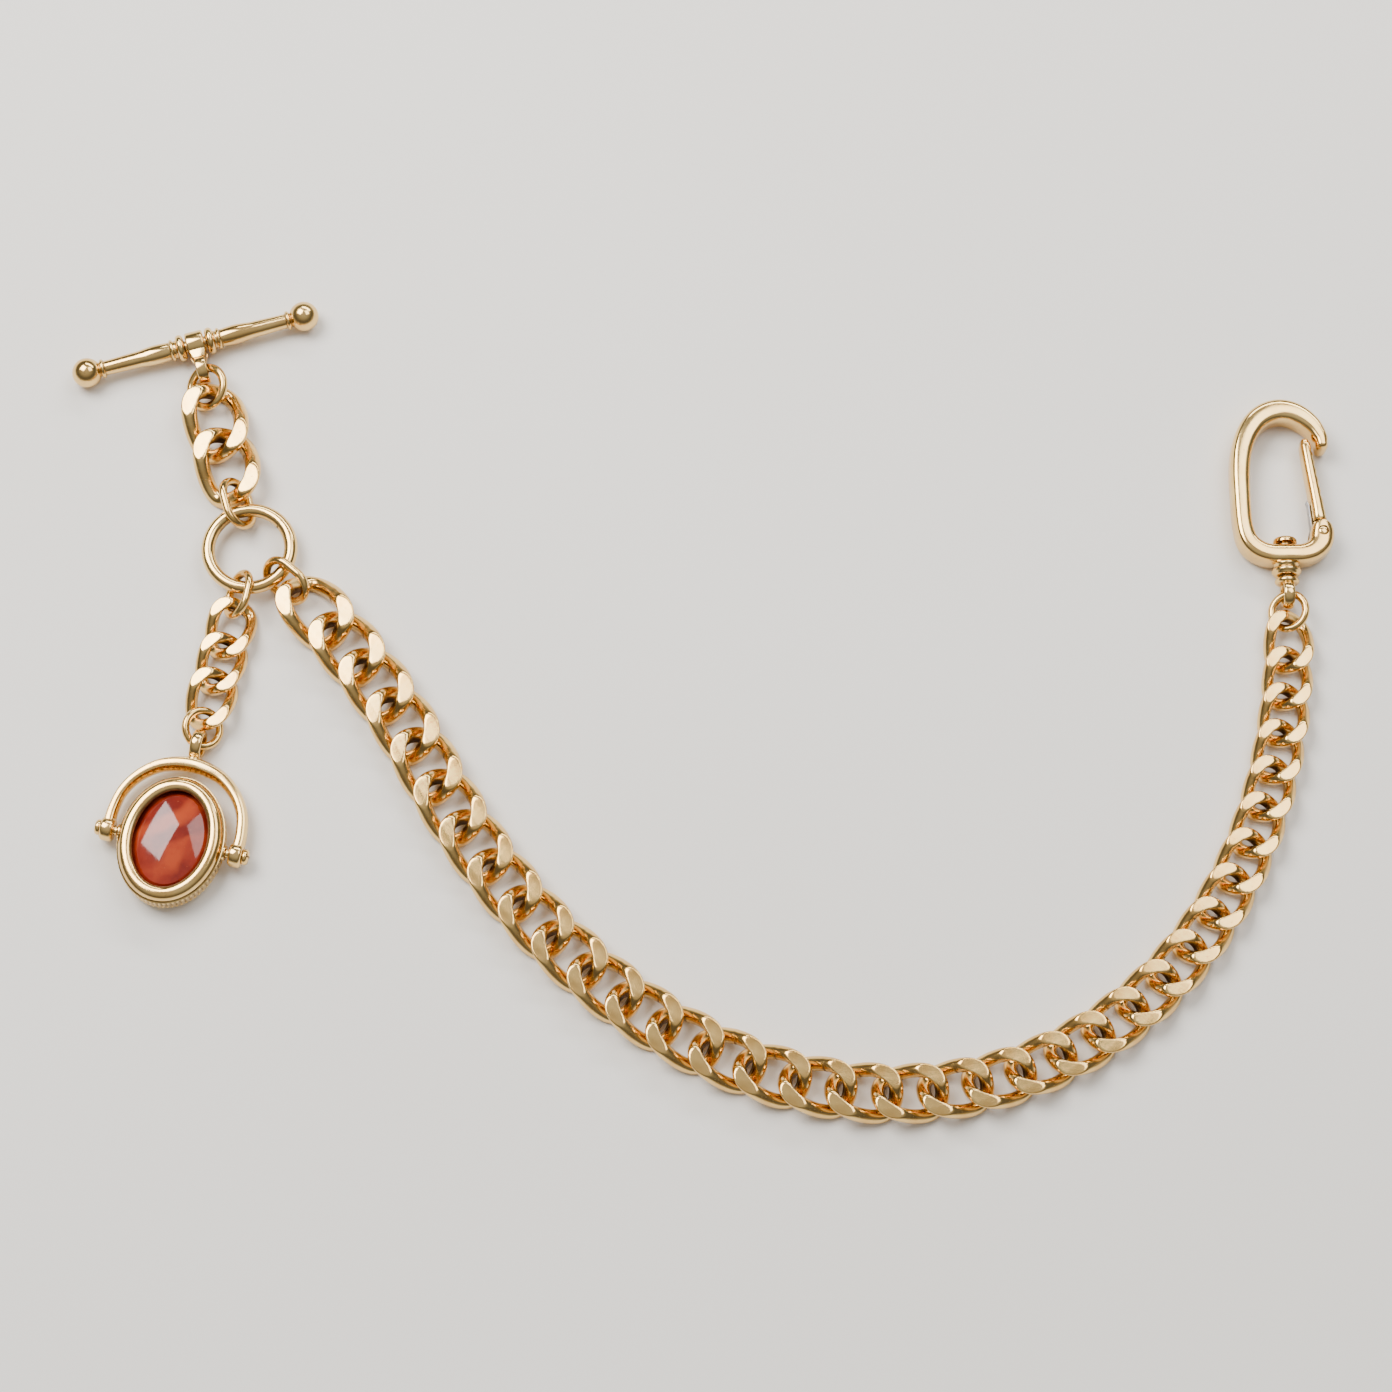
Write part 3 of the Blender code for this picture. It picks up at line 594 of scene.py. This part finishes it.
def loop_mesh(name, half_length, half_width, wire, seed, around, sides=24):
    """Round or oval jump ring with its soldered joint on one side."""
    rng = random.Random(seed)
    t = (np.arange(around) + 0.5) * math.tau / around
    straight = half_length - half_width
    path = np.stack([np.sign(np.cos(t)) * straight + half_width * np.cos(t),
                     half_width * np.sin(t), np.zeros(around)], 1)
    seam = seam_at(t, SEAM_SIDE + rng.uniform(-0.3, 0.3), 0.03)
    thick = RING_WIRE * wire * (1 + 0.01 * np.sin(2 * t + rng.uniform(0, 6)) - 0.03 * seam)
    grid, angles = sweep_closed(path, thick, sides)
    inward = np.clip(-np.cos(angles), 0, 1) ** 1.4
    ends = np.abs(np.cos(t))[:, None] ** 2
    recess = np.clip(inward * (0.35 + 0.5 * ends) + 0.6 * seam[:, None], 0, 1)
    return mesh_from_grid(name, grid, attributes={"recess": recess})


def dress(obj, body, node):
    """Every finished piece rides on its body and stands for its node."""
    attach(obj, body)
    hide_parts(node)


def build_links():
    """All curb links, sized from the CAD node each one stands for."""
    for seed, node in enumerate(n for n in frame["nodes"] if "link" in n):
        low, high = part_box(node)
        centre, heading = link_place(node)
        wire = (high.z - low.z) / 2 / CURB_FLAT
        obj = make_object("v_" + node, curb_mesh(node, wire, seed), GILT)
        put(obj, centre, heading)
        dress(obj, node, node)


# Half length, half width and wire radius in mm, and tilt about its own heading in degrees.
RINGS = {"bar_ring": (2.55, 2.55, 0.58, 30.0), "end_ring": (2.25, 2.25, 0.52, -30.0),
         "fob_ring": (2.25, 2.25, 0.52, -30.0), "upper_ring": (3.05, 2.12, 0.58, -50.0),
         "main_ring": (3.05, 2.12, 0.58, 50.0), "drop_ring": (2.80, 2.10, 0.54, 50.0),
         "centre_ring": (5.20, 5.20, 0.90, 0.0)}
FIRST_RING_SEED = 100


def build_rings():
    """The jump rings, and the large centre ring in the brighter finish."""
    for seed, (node, (length, width, wire, tilt)) in enumerate(RINGS.items(), FIRST_RING_SEED):
        bright = node == "centre_ring"
        around = 200 if bright else 112
        mesh = loop_mesh(node, length * MM, width * MM, wire * MM, seed, around)
        obj = make_object("v_" + node, mesh, BRIGHT if bright else GILT)
        centre, heading = link_place(node)
        put(obj, centre, heading, math.radians(tilt))
        dress(obj, node, node)


# ---------------------------------------------------------------- T-bar and collar

def with_recess(mesh, rule):
    """Give every point a tarnish value from its own position (metres, local)."""
    values = [max(0.0, min(1.0, rule(v.co))) for v in mesh.vertices]
    if "recess" in mesh.attributes:
        mesh.attributes.remove(mesh.attributes["recess"])
    add_float_attribute(mesh, "recess", values)


ARM_START, ARM_END = 3.36, 11.9            # the tapering arm of the T-bar, in mm
BAR_GROOVES = (2.66, 3.34, 11.95, 12.62)   # where tarnish gathers beside its turned rings


def bar_half_profile():
    """Turned profile from the middle of the bar to its ball end, in millimetres."""
    half = [(0.0, 0.80), (1.36, 0.80), (1.40, 0.86)]
    half += arc(1.93, 1.23, 0.52, 180, 0, 14)
    half += [(2.50, 1.16), (2.62, 1.12), (2.80, 1.13)]
    half += arc(3.05, 1.16, 0.24, 160, 20, 8)
    for share in np.linspace(0, 1, 16):
        swell = 0.16 * math.sin(math.pi * min(share * 2.2, 1))
        half.append((ARM_START + (ARM_END - ARM_START) * share,
                     1.13 + swell - 0.20 * share ** 1.4))
    half += arc(12.22, 0.98, 0.26, 165, 15, 8)
    half += [(12.56, 0.88), (12.70, 0.86)]
    half += arc(14.3, 0.0, 1.90, 153, 0, 26)
    return half


def build_bar():
    half = bar_half_profile()
    profile = [(-x, r) for x, r in reversed(half)] + half[1:]
    profile = [(x * MM, max(r, 0.0) * MM) for x, r in profile]
    mesh = lathe("toggle_bar", profile, 72)

    def tarnish(p):
        x = abs(p.x) / MM
        near = min(abs(x - groove) for groove in BAR_GROOVES)
        return 0.75 * math.exp(-(near / 0.13) ** 2) + (0.6 if x < 1.4 else 0.0)

    with_recess(mesh, tarnish)
    obj = make_object("v_toggle_bar", mesh, BRIGHT, sharp=50)
    heading = heading_between(joint_point("bar_collar"), joint_point("bar_ring")) + math.pi / 2
    put(obj, joint_point("bar_collar"), heading)
    dress(obj, "toggle_bar", "toggle_bar")


# The collar in mm: from the bar's bore to the eye, the lobes round both, and the holes in them.
COLLAR_REACH = 3.65
BAR_LOBE, EYE_LOBE = 1.72, 1.88
BAR_BORE, EYE_BORE = 0.94, 1.26    # the eyes of the swivel and the bail are as wide
COLLAR_WAIST = 1.22


def collar_outline():
    """Two round lobes joined by a waist, as seen along the bar, in metres."""
    length = BAR_LOBE + COLLAR_REACH + EYE_LOBE
    xs = (1 - np.cos(np.linspace(0, math.pi, 90))) / 2 * length - BAR_LOBE
    top = []
    for x in xs:
        lobe_a = math.sqrt(max(BAR_LOBE ** 2 - x ** 2, 0.0))
        lobe_b = math.sqrt(max(EYE_LOBE ** 2 - (x - COLLAR_REACH) ** 2, 0.0))
        waist = COLLAR_WAIST if 0.4 < x < COLLAR_REACH - 0.4 else 0.0
        top.append((x * MM, max(lobe_a, lobe_b, waist) * MM))
    return top + [(x, -z) for x, z in reversed(top[1:-1])]


def build_collar():
    holes = [(0.0, 0.0, BAR_BORE * MM), (COLLAR_REACH * MM, 0.0, EYE_BORE * MM)]
    mesh = stand_up(outline_solid("bar_collar", collar_outline(), holes, 2.3 * MM, 0.26 * MM, 4))
    for v in mesh.vertices:    # thinner towards the eye
        share = min(max((v.co.x / MM - 0.9) / 1.9, 0.0), 1.0)
        v.co.y *= 1.0 - 0.38 * (3 * share ** 2 - 2 * share ** 3)

    def tarnish(p):
        from_bar = math.hypot(p.x, p.z) - BAR_BORE * MM
        from_eye = math.hypot(p.x - COLLAR_REACH * MM, p.z) - EYE_BORE * MM
        return 0.85 if min(from_bar, from_eye) < 0.08 * MM else 0.0

    with_recess(mesh, tarnish)
    obj = make_object("v_bar_collar", mesh, BRIGHT, sharp=35)
    heading = heading_between(joint_point("bar_collar"), joint_point("bar_ring"))
    put(obj, joint_point("bar_collar"), heading)
    dress(obj, "bar_collar", "bar_collar")


# ---------------------------------------------------------------- swivel and clasp

def ring_section(radius, half_radial, half_wide):
    """Section of a turned eye, (along, radius) in metres from measures in mm."""
    section = superellipse(half_wide, half_radial, 2.4, 28)
    return [(a * MM, (radius + b) * MM) for a, b in section]


def fused(name, meshes, mat, sharp):
    """One closed skin from overlapping solids."""
    obj = make_object(name, meshes[0], mat)
    for mesh in meshes[1:]:
        cut(obj, mesh, "UNION")
    refinish(obj, mat, sharp)
    return obj


def refinish(obj, mat, sharp):
    """Material and smooth shading again after booleans, with edges kept where they are sharp."""
    obj.data.materials.clear()
    obj.data.materials.append(mat)
    obj.data.shade_smooth()
    obj.data.set_sharp_from_angle(angle=math.radians(sharp))


def build_swivel_eye():
    """Eye with a headed stem; returns the heading that the clasp's pieces share."""
    loop = turned_ring("loop", ring_section(1.57, 0.31, 0.70), "y")
    neck = 2.35    # where the stem leaves the eye's shoulder, mm from the eye
    stem = [(1.30, 0.0), (1.30, 0.95)] + arc(1.70, 1.14, 0.40, 175, 5, 12)
    stem += [(neck - 0.25, 0.86), (neck + 4.30, 0.86), (neck + 4.34, 1.20), (neck + 4.45, 1.50)]
    stem += arc(neck + 4.62, 1.02, 0.50, 80, 10, 8) + [(neck + 5.15, 0.8), (neck + 5.15, 0.0)]
    turned = lathe("stem", in_metres(stem), 56)
    obj = fused("v_swivel_eye", [loop, turned], BRIGHT, 45)

    def tarnish(p):
        inner = 0.8 * max(0.0, 1 - abs(math.hypot(p.x, p.z) / MM - EYE_BORE) / 0.16)
        return max(inner, 0.7 if 2.08 < p.x / MM < neck + 4.4 else 0.05)

    with_recess(obj.data, tarnish)
    heading = heading_between(joint_point("swivel_eye"), joint_point("clasp_body"))
    put(obj, joint_point("swivel_eye"), heading)
    dress(obj, "swivel_eye", "swivel_eye")
    return heading


HINGE = (5.6, -4.65)       # the gate's pin from the swivel joint, in mm
HINGE_HOLE = 0.64          # radius of its hole, in mm
LUG_SLOT = 0.85            # half height of the slot in the hinge lug, in mm


def from_hinge(rows):
    """Rows that begin with x, y in the clasp's frame, in mm, as rows from the hinge in metres."""
    return [((x - HINGE[0]) * MM, (y - HINGE[1]) * MM, w * MM, h * MM) for x, y, w, h in rows]


def hook_rows():
    """Centreline, half width and half height of the hook from the lug to the nose."""
    plan = [(7.0, -4.65, 0.75), (6.7, -4.65, 1.18), (6.2, -4.65, 1.42), (5.4, -4.62, 1.54),
            (4.3, -4.35, 1.50), (3.3, -3.45, 1.35), (2.8, -2.0, 1.28), (2.75, 0.0, 1.28),
            (2.8, 2.0, 1.28), (3.4, 3.6, 1.28), (4.7, 4.75, 1.25), (7.0, 5.25, 1.20),
            (10.5, 5.35, 1.22), (14.0, 5.3, 1.28), (17.0, 4.9, 1.35), (19.6, 3.9, 1.42),
            (21.4, 2.3, 1.48), (22.2, 0.2, 1.48), (21.8, -2.0, 1.40), (20.4, -3.9, 1.22),
            (18.6, -5.0, 0.98), (17.4, -5.22, 0.78)]
    return [(x * MM, y * MM, w * MM, 1.9 * MM) for x, y, w in plan]


def pin_cylinder(name, radius, half, axis="z", sides=40):
    profile = [(-half, 0.0), (-half, radius), (half, radius), (half, 0.0)]
    return lathe(name, profile, sides, axis)


def block(name, low, high):
    """Box between two corners."""
    corners = np.array([low, high])
    bm = bmesh.new()
    bmesh.ops.create_cube(bm, size=1.0)
    for v in bm.verts:
        v.co = Vector([corners[1 if v.co[k] > 0 else 0][k] for k in range(3)])
    mesh = bpy.data.meshes.new(name)
    bm.to_mesh(mesh)
    bm.free()
    return mesh


def build_clasp(heading):
    """Hook, barrel and slotted hinge lug in one skin."""
    body_mesh = flat_sweep("clasp_body", hook_rows(), 3.4, 36, 240, (False, True))
    body = make_object("v_clasp_body", body_mesh, BRIGHT)
    barrel = [(0.0, 0.0), (0.0, 1.30)] + arc(0.30, 1.42, 0.24, 170, 90, 5)
    barrel += arc(0.66, 1.50, 0.38, 125, 55, 9) + [(1.06, 1.52), (1.16, 1.47)]
    barrel += arc(1.52, 1.42, 0.22, 150, 30, 7) + [(1.80, 1.46), (2.9, 1.60), (2.9, 0.0)]
    cut(body, lathe("barrel", in_metres(barrel), 64), "UNION")
    cut(body, shift(pin_cylinder("bore", 1.0 * MM, 4 * MM, "x"), 2.5 * MM))
    cut(body, block("slot", (3.75 * MM, -9 * MM, -LUG_SLOT * MM),
                    (9 * MM, -2.4 * MM, LUG_SLOT * MM)))
    hole = pin_cylinder("hole", HINGE_HOLE * MM, 3 * MM)
    cut(body, shift(hole, HINGE[0] * MM, HINGE[1] * MM))

    def tarnish(p):
        x, y, z = p.x / MM, p.y / MM, abs(p.z) / MM
        pin = math.hypot(x - HINGE[0], y - HINGE[1])
        inside_slot = x > 3.7 and y < -2.3 and z < 0.9 and x < 9
        neck = math.exp(-((x - 1.1) / 0.16) ** 2) if math.hypot(y, z) < 1.9 else 0.0
        return max(0.8 if inside_slot else 0.0, 0.8 if pin < 0.72 else 0.0, 0.7 * neck)

    with_recess(body.data, tarnish)
    refinish(body, BRIGHT, 38)
    put(body, joint_point("clasp_body"), heading)
    dress(body, "clasp_body", "clasp_body")


RIB_START, RIB_END, RIBS = 0.66, 0.86, 6     # thumb ribs along the gate, 0 to 1
RIB_DEPTH = 0.17                             # mm


def thumb_ribs(section, along, width, height):
    """Waves on the outer face of the gate, for the thumb."""
    if RIB_START < along < RIB_END:
        turn = (along - RIB_START) / (RIB_END - RIB_START) * math.tau * RIBS
        wave = 0.5 + 0.5 * math.cos(turn)
        side = np.clip(section[:, 0] / width, 0, 1) ** 4
        section = section.copy()
        section[:, 0] -= side * RIB_DEPTH * MM * (1 - wave)
    return section


def gate_tarnish(p):
    """Dull at the hinge end and in the valleys between the ribs."""
    x, y = p.x / MM, p.y / MM
    if x < 1.9:
        return 0.5
    if 8.0 < x < 10.8 and y < 0.9 * x * 0.13 - 0.6:
        return 0.55 * (0.5 - 0.5 * math.cos(x * 16))
    return 0.0


def build_gate(heading):
    plan = [(5.55, -4.66, 0.74, 0.62), (5.9, -4.62, 0.86, 0.62), (6.4, -4.56, 0.93, 0.62),
            (7.30, -4.46, 0.90, 0.62), (7.48, -4.44, 0.90, 1.0), (7.62, -4.42, 0.90, 1.45),
            (10.0, -4.15, 0.85, 1.45), (14.0, -3.62, 0.80, 1.40), (17.2, -3.20, 0.72, 1.30),
            (17.95, -3.09, 0.55, 1.12)]
    mesh = flat_sweep("clasp_gate", from_hinge(plan), 3.0, 32, 260, shape=thumb_ribs)
    with_recess(mesh, gate_tarnish)
    gate = make_object("v_clasp_gate", mesh, BRIGHT, sharp=50)
    cut(gate, pin_cylinder("gate_hole", HINGE_HOLE * MM, 1 * MM))
    refinish(gate, BRIGHT, 50)
    put(gate, joint_point("clasp_gate"), heading)
    dress(gate, "clasp_gate", "clasp_gate")


def build_gate_pin(heading):
    head = [(1.66, 0.605), (1.74, 0.60), (1.80, 0.52), (1.85, 0.36), (1.875, 0.18), (1.88, 0.0)]
    pin = [(-z, r) for z, r in reversed(head)] + head
    turned = lathe("gate_pin", in_metres(pin), 36, "z")
    with_recess(turned, lambda p: 0.15)
    pin_obj = make_object("v_gate_pin", turned, BRIGHT, sharp=50)
    put(pin_obj, joint_point("clasp_gate"), heading)
    dress(pin_obj, "clasp_body", "gate_pin")


def build_gate_spring(heading):
    plan = [(3.45, -2.90), (4.0, -3.05), (5.0, -3.28), (6.0, -3.36), (7.2, -3.30), (8.4, -3.22),
            (9.4, -3.15), (9.9, -2.98)]
    rows = from_hinge([(x, y, 0.13, 0.55) for x, y in plan])
    leaf = flat_sweep("gate_spring", rows, 5.0, 16, 80)
    leaf_obj = make_object("v_gate_spring", leaf, STEEL, sharp=40)
    put(leaf_obj, joint_point("clasp_gate"), heading)
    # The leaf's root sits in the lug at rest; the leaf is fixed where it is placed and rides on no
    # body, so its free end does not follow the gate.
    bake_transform(leaf_obj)
    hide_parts("gate_spring")


# ---------------------------------------------------------------- spinner fob

STIRRUP_PIVOT = (12.7, 8.1)    # the pivots from the bail's joint, ahead and to each side, in mm
PIVOT_HOLE = 0.62              # radius, in mm


def build_stirrup(heading):
    """U-shaped bow with its bail, neck and pivot bosses in one skin."""
    half = [(12.7, 8.1, 0.80, 1.12), (10.2, 8.1, 0.74, 1.10), (7.6, 7.55, 0.72, 1.10),
            (5.4, 6.2, 0.76, 1.12), (3.7, 4.2, 0.84, 1.16), (2.9, 2.1, 0.92, 1.20)]
    plan = half + [(2.65, 0.0, 0.96, 1.20)] + [(x, -y, w, h) for x, y, w, h in reversed(half)]

    def ridge(section, along, width, height):
        """A raised rib along the middle of the outer and inner faces."""
        section = section.copy()
        lift = np.exp(-(section[:, 1] / (0.42 * height)) ** 2)
        edge = np.abs(section[:, 0]) > 0.6 * width
        section[:, 0] *= np.where(edge, 0.86 + 0.16 * lift, 1.0)
        return section

    bow = flat_sweep("bow", in_metres(plan), 2.8, 36, 200, (False, False), ridge)
    bail = turned_ring("bail", ring_section(1.615, 0.355, 0.70), "y")
    neck = [(1.55, 0.0), (1.55, 0.62)] + arc(1.95, 0.72, 0.28, 180, 20, 8)
    neck += [(2.30, 0.72), (2.6, 1.0), (2.9, 0.0)]
    collar = lathe("neck", in_metres(neck), 40)
    parts = [bow, bail, collar]
    for side in (1, -1):
        boss = [(-0.82, 0.0), (-0.82, 1.05), (-0.80, 1.25), (-0.66, 1.42), (-0.45, 1.50),
                (0.45, 1.50), (0.66, 1.42), (0.80, 1.25), (0.82, 1.05), (0.82, 0.0)]
        turned = lathe("boss", [(a * side * MM, r * MM) for a, r in boss], 48, "y")
        parts.append(shift(turned, STIRRUP_PIVOT[0] * MM, side * STIRRUP_PIVOT[1] * MM))
    obj = fused("v_fob_stirrup", parts, BRIGHT, 42)
    holes = pin_cylinder("pivot_holes", PIVOT_HOLE * MM, 12 * MM, "y")
    cut(obj, shift(holes, STIRRUP_PIVOT[0] * MM))
    refinish(obj, BRIGHT, 42)

    def tarnish(p):
        bail_wall = 0.8 * max(0.0, 1 - abs(math.hypot(p.x, p.z) / MM - EYE_BORE) / 0.2)
        bore = 0.7 if math.hypot(p.x / MM - STIRRUP_PIVOT[0], p.z / MM) < 0.75 else 0.0
        neck = 0.5 if 1.8 < p.x / MM < 2.4 and math.hypot(p.y, p.z) < 1.05 * MM else 0.0
        groove = 0.3 if abs(abs(p.z) / MM - 0.62) < 0.14 else 0.0
        return max(bail_wall, bore, neck, groove)

    with_recess(obj.data, tarnish)
    put(obj, joint_point("fob_stirrup"), heading)
    dress(obj, "fob_stirrup", "fob_stirrup")


def build_pivots(heading):
    """Slotted screws that carry the spinning bezel."""
    for name, side in (("fob_pivot_left", 1), ("fob_pivot_right", -1)):
        screw = [(5.85, 0.0), (5.85, 0.42), (6.0, 0.55), (8.98, 0.55), (9.0, 0.92), (9.08, 0.98),
                 (9.34, 0.98), (9.52, 0.90), (9.64, 0.72), (9.70, 0.45), (9.72, 0.0)]
        turned = lathe(name, [(a * side * MM, r * MM) for a, r in screw], 44, "y")
        obj = make_object("v_" + name, turned, BRIGHT)
        low = (-0.11 * MM, (9.50 if side > 0 else -9.9) * MM, -1.2 * MM)
        high = (0.11 * MM, (9.9 if side > 0 else -9.50) * MM, 1.2 * MM)
        cut(obj, block("slot", low, high))
        with_recess(obj.data, lambda p: 0.9 if abs(p.x) < 0.13 * MM
                    and 9.45 * MM < abs(p.y) < 9.6 * MM else 0.15)
        refinish(obj, BRIGHT, 40)
        put(obj, joint_point("fob_bezel"), heading)
        dress(obj, "fob_stirrup", name)


BEZEL_LENGTH, BEZEL_WIDTH = 8.2, 6.6       # half the bezel's oval, in mm
BEZEL_AROUND, BEZEL_FLUTES = 576, 72
FLUTE_DEPTH = 0.17                         # mm


def bezel_grid(profile):
    """Carry (inset, height) pairs in mm round the bezel's oval, with flutes on its outer band."""
    rows = []
    for angle in (np.arange(BEZEL_AROUND) + 0.5) * math.tau / BEZEL_AROUND:
        wave = 0.5 - 0.5 * math.cos(BEZEL_FLUTES * angle)
        row = []
        for inset, height in profile:
            on_band = abs(height) < 0.92 and inset < 0.2
            milled = inset + (FLUTE_DEPTH * wave ** 1.5 if on_band else 0.0)
            row.append(((BEZEL_LENGTH - milled) * math.cos(angle),
                        (BEZEL_WIDTH - milled) * math.sin(angle), height))
        rows.append(row)
    return np.array(rows) * MM


def build_bezel(heading):
    upper = [(0.04, 0.0), (0.04, 0.45), (0.05, 0.80), (0.10, 0.98), (0.30, 1.04), (0.36, 1.14),
             (0.30, 1.26), (0.34, 1.50), (0.48, 1.80), (0.72, 2.05), (1.02, 2.17), (1.35, 2.20),
             (1.66, 2.17), (1.90, 2.03), (2.06, 1.84), (2.08, 1.74), (1.90, 1.42), (1.36, 0.60)]
    profile = upper[1:] + [(1.36, 0.0)] + [(i, -h) for i, h in reversed(upper)]
    grid = bezel_grid(profile)
    heights = np.abs(np.array([h for _, h in profile]))
    insets = np.array([i for i, _ in profile])
    dark = np.where((heights > 0.98) & (heights < 1.22) & (insets < 0.5), 0.85, 0.0)
    dark = np.maximum(dark, np.where(insets > 1.85, 0.75, 0.0))
    turn = (np.arange(BEZEL_AROUND) + 0.5) * math.tau / BEZEL_AROUND
    flute = 0.5 - 0.5 * np.cos(BEZEL_FLUTES * turn)
    band = np.where((heights < 0.95) & (insets < 0.2), 1.0, 0.0)
    recess = np.maximum(dark[None, :], 0.75 * flute[:, None] * band[None, :])
    mesh = mesh_from_grid("fob_bezel", grid, attributes={"recess": recess})
    obj = make_object("v_fob_bezel", mesh, BRIGHT)
    for side in (1, -1):
        lug = [(5.75, 0.0), (5.75, 0.98), (6.62, 0.98), (6.78, 0.92), (6.84, 0.80), (6.84, 0.0)]
        cut(obj, lathe("lug", [(a * side * MM, r * MM) for a, r in lug], 40, "y"), "UNION")
    cut(obj, pin_cylinder("pivot_holes", PIVOT_HOLE * MM, 12 * MM, "y"))
    refinish(obj, BRIGHT, 55)
    put(obj, joint_point("fob_bezel"), heading)
    dress(obj, "fob_bezel", "fob_bezel")


# The stone in mm: its dome's inset from the bezel's oval, the height of its edge and its rise.
DOME_INSET, DOME_EDGE, DOME_RISE = 2.5, 1.24, 0.82
DOME_SHARES = (0.12, 0.3, 0.45, 0.6, 0.72, 0.82, 0.9, 0.96, 1.0)
GIRDLE = [(1.75, 0.42), (1.69, 0.0)]       # inset and height of the edge under the bezel
STONE_AROUND = 192


def build_stone(heading):
    """Oval cabochon on each side, with a bevel where it meets the bezel."""
    half_long, half_short = BEZEL_LENGTH - DOME_INSET, BEZEL_WIDTH - DOME_INSET
    dome = [(share, DOME_EDGE + DOME_RISE * (1 - share ** 2)) for share in DOME_SHARES]
    angles = (np.arange(STONE_AROUND) + 0.5) * math.tau / STONE_AROUND
    loops = [(share * half_long, share * half_short, height) for share, height in dome]
    loops += [(BEZEL_LENGTH - inset, BEZEL_WIDTH - inset, height) for inset, height in GIRDLE]
    loops += [(a, b, -h) for a, b, h in reversed(loops[:-1])]
    grid = np.array([np.stack([a * np.cos(angles), b * np.sin(angles),
                               np.full(STONE_AROUND, h)], 1) for a, b, h in loops]) * MM
    mesh = mesh_from_grid("fob_stone", grid, closed_along=False, caps=True)
    obj = make_object("v_fob_stone", mesh, STONE, sharp=30)
    put(obj, joint_point("fob_bezel"), heading)
    dress(obj, "fob_bezel", "fob_stone")


# ---------------------------------------------------------------- studio

def area_light(name, place, size, power, color):
    """Rectangular light that points at the middle of the floor."""
    data = bpy.data.lights.new(name, "AREA")
    data.shape = "RECTANGLE"
    data.size, data.size_y = size
    data.energy = power
    data.color = color
    obj = bpy.data.objects.new(name, data)
    bpy.context.scene.collection.objects.link(obj)
    obj.location = place
    obj.rotation_mode = "QUATERNION"
    obj.rotation_quaternion = (-Vector(place)).to_track_quat("-Z", "Y")


# Name, place in metres, size in metres, power in watts and colour.
LIGHTS = [("key", (-0.27, 0.20, 0.50), (0.34, 0.34), 4.8, (1.0, 0.975, 0.94)),
          ("back_strip", (0.14, 0.46, 0.36), (0.60, 0.08), 2.0, (1, 1, 1)),
          ("fill", (0.24, 0.16, 0.52), (0.32, 0.26), 1.25, (1.0, 0.985, 0.96))]
# Height above the horizon and brightness of the room: pale walls, a dark band, a soft ceiling.
ROOM_TONES = [(0.0, 0.72), (0.10, 0.50), (0.24, 0.13), (0.50, 0.17), (0.92, 0.60)]
ROOM_WARMTH = (1.0, 0.985, 0.955)
ROOM_STRENGTH = 0.95
FLOOR_HALF_SIZE = 15.0     # metres
FLOOR_GAP = 0.02           # mm under the chain, so that the two never share a plane


def build_floor():
    bm = bmesh.new()
    bmesh.ops.create_grid(bm, x_segments=8, y_segments=8, size=FLOOR_HALF_SIZE)
    mesh = bpy.data.meshes.new("floor")
    bm.to_mesh(mesh)
    bm.free()
    floor = make_object("floor", mesh, floor_material())
    floor.location = (0, 0, -FLOOR_GAP * MM)
    floor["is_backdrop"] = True


def build_room():
    """Soft surroundings whose brightness changes with the height above the horizon."""
    world = bpy.data.worlds.new("soft_room")
    bpy.context.scene.world = world
    world.use_nodes = True
    tree = world.node_tree
    background = tree.nodes["Background"]
    coords = tree.nodes.new("ShaderNodeTexCoord")
    split = tree.nodes.new("ShaderNodeSeparateXYZ")
    shade = tree.nodes.new("ShaderNodeValToRGB")
    tree.links.new(coords.outputs["Generated"], split.inputs[0])
    tree.links.new(split.outputs["Z"], shade.inputs[0])
    tree.links.new(shade.outputs[0], background.inputs["Color"])
    ramp_stops = shade.color_ramp.elements
    while len(ramp_stops) < len(ROOM_TONES):
        ramp_stops.new(0.5)
    for stop, (height, tone) in zip(ramp_stops, ROOM_TONES):
        stop.position = height
        stop.color = (*(tone * share for share in ROOM_WARMTH), 1)
    background.inputs["Strength"].default_value = ROOM_STRENGTH


CAMERA_ELEVATION = 72.0    # degrees above the floor, from the front
CAMERA_LENS = 90.0         # mm
CAMERA_FILL = 0.93         # share of the frame's width that the chain takes


def build_camera():
    low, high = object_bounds()
    centre = (low + high) / 2
    data = bpy.data.cameras.new("camera")
    data.lens = CAMERA_LENS
    camera = bpy.data.objects.new("camera", data)
    bpy.context.scene.collection.objects.link(camera)
    bpy.context.scene.camera = camera
    angle = math.radians(CAMERA_ELEVATION)
    back = Vector((0, -math.cos(angle), math.sin(angle)))
    half_view = math.atan(data.sensor_width / 2 / data.lens)
    distance = (high.x - low.x) / 2 / CAMERA_FILL / math.tan(half_view)
    camera.location = centre + back * distance
    camera.rotation_mode = "QUATERNION"
    camera.rotation_quaternion = (-back).to_track_quat("-Z", "Y")
    data.clip_start, data.clip_end = 0.01, 20.0


def main():
    build_links()
    build_rings()
    build_bar()
    build_collar()
    clasp_heading = build_swivel_eye()
    build_clasp(clasp_heading)
    build_gate(clasp_heading)
    build_gate_pin(clasp_heading)
    build_gate_spring(clasp_heading)
    fob_heading = heading_between(joint_point("fob_stirrup"), joint_point("fob_bezel"))
    build_stirrup(fob_heading)
    build_pivots(fob_heading)
    build_bezel(fob_heading)
    build_stone(fob_heading)
    build_floor()
    for light in LIGHTS:
        area_light(*light)
    build_room()
    build_camera()


main()
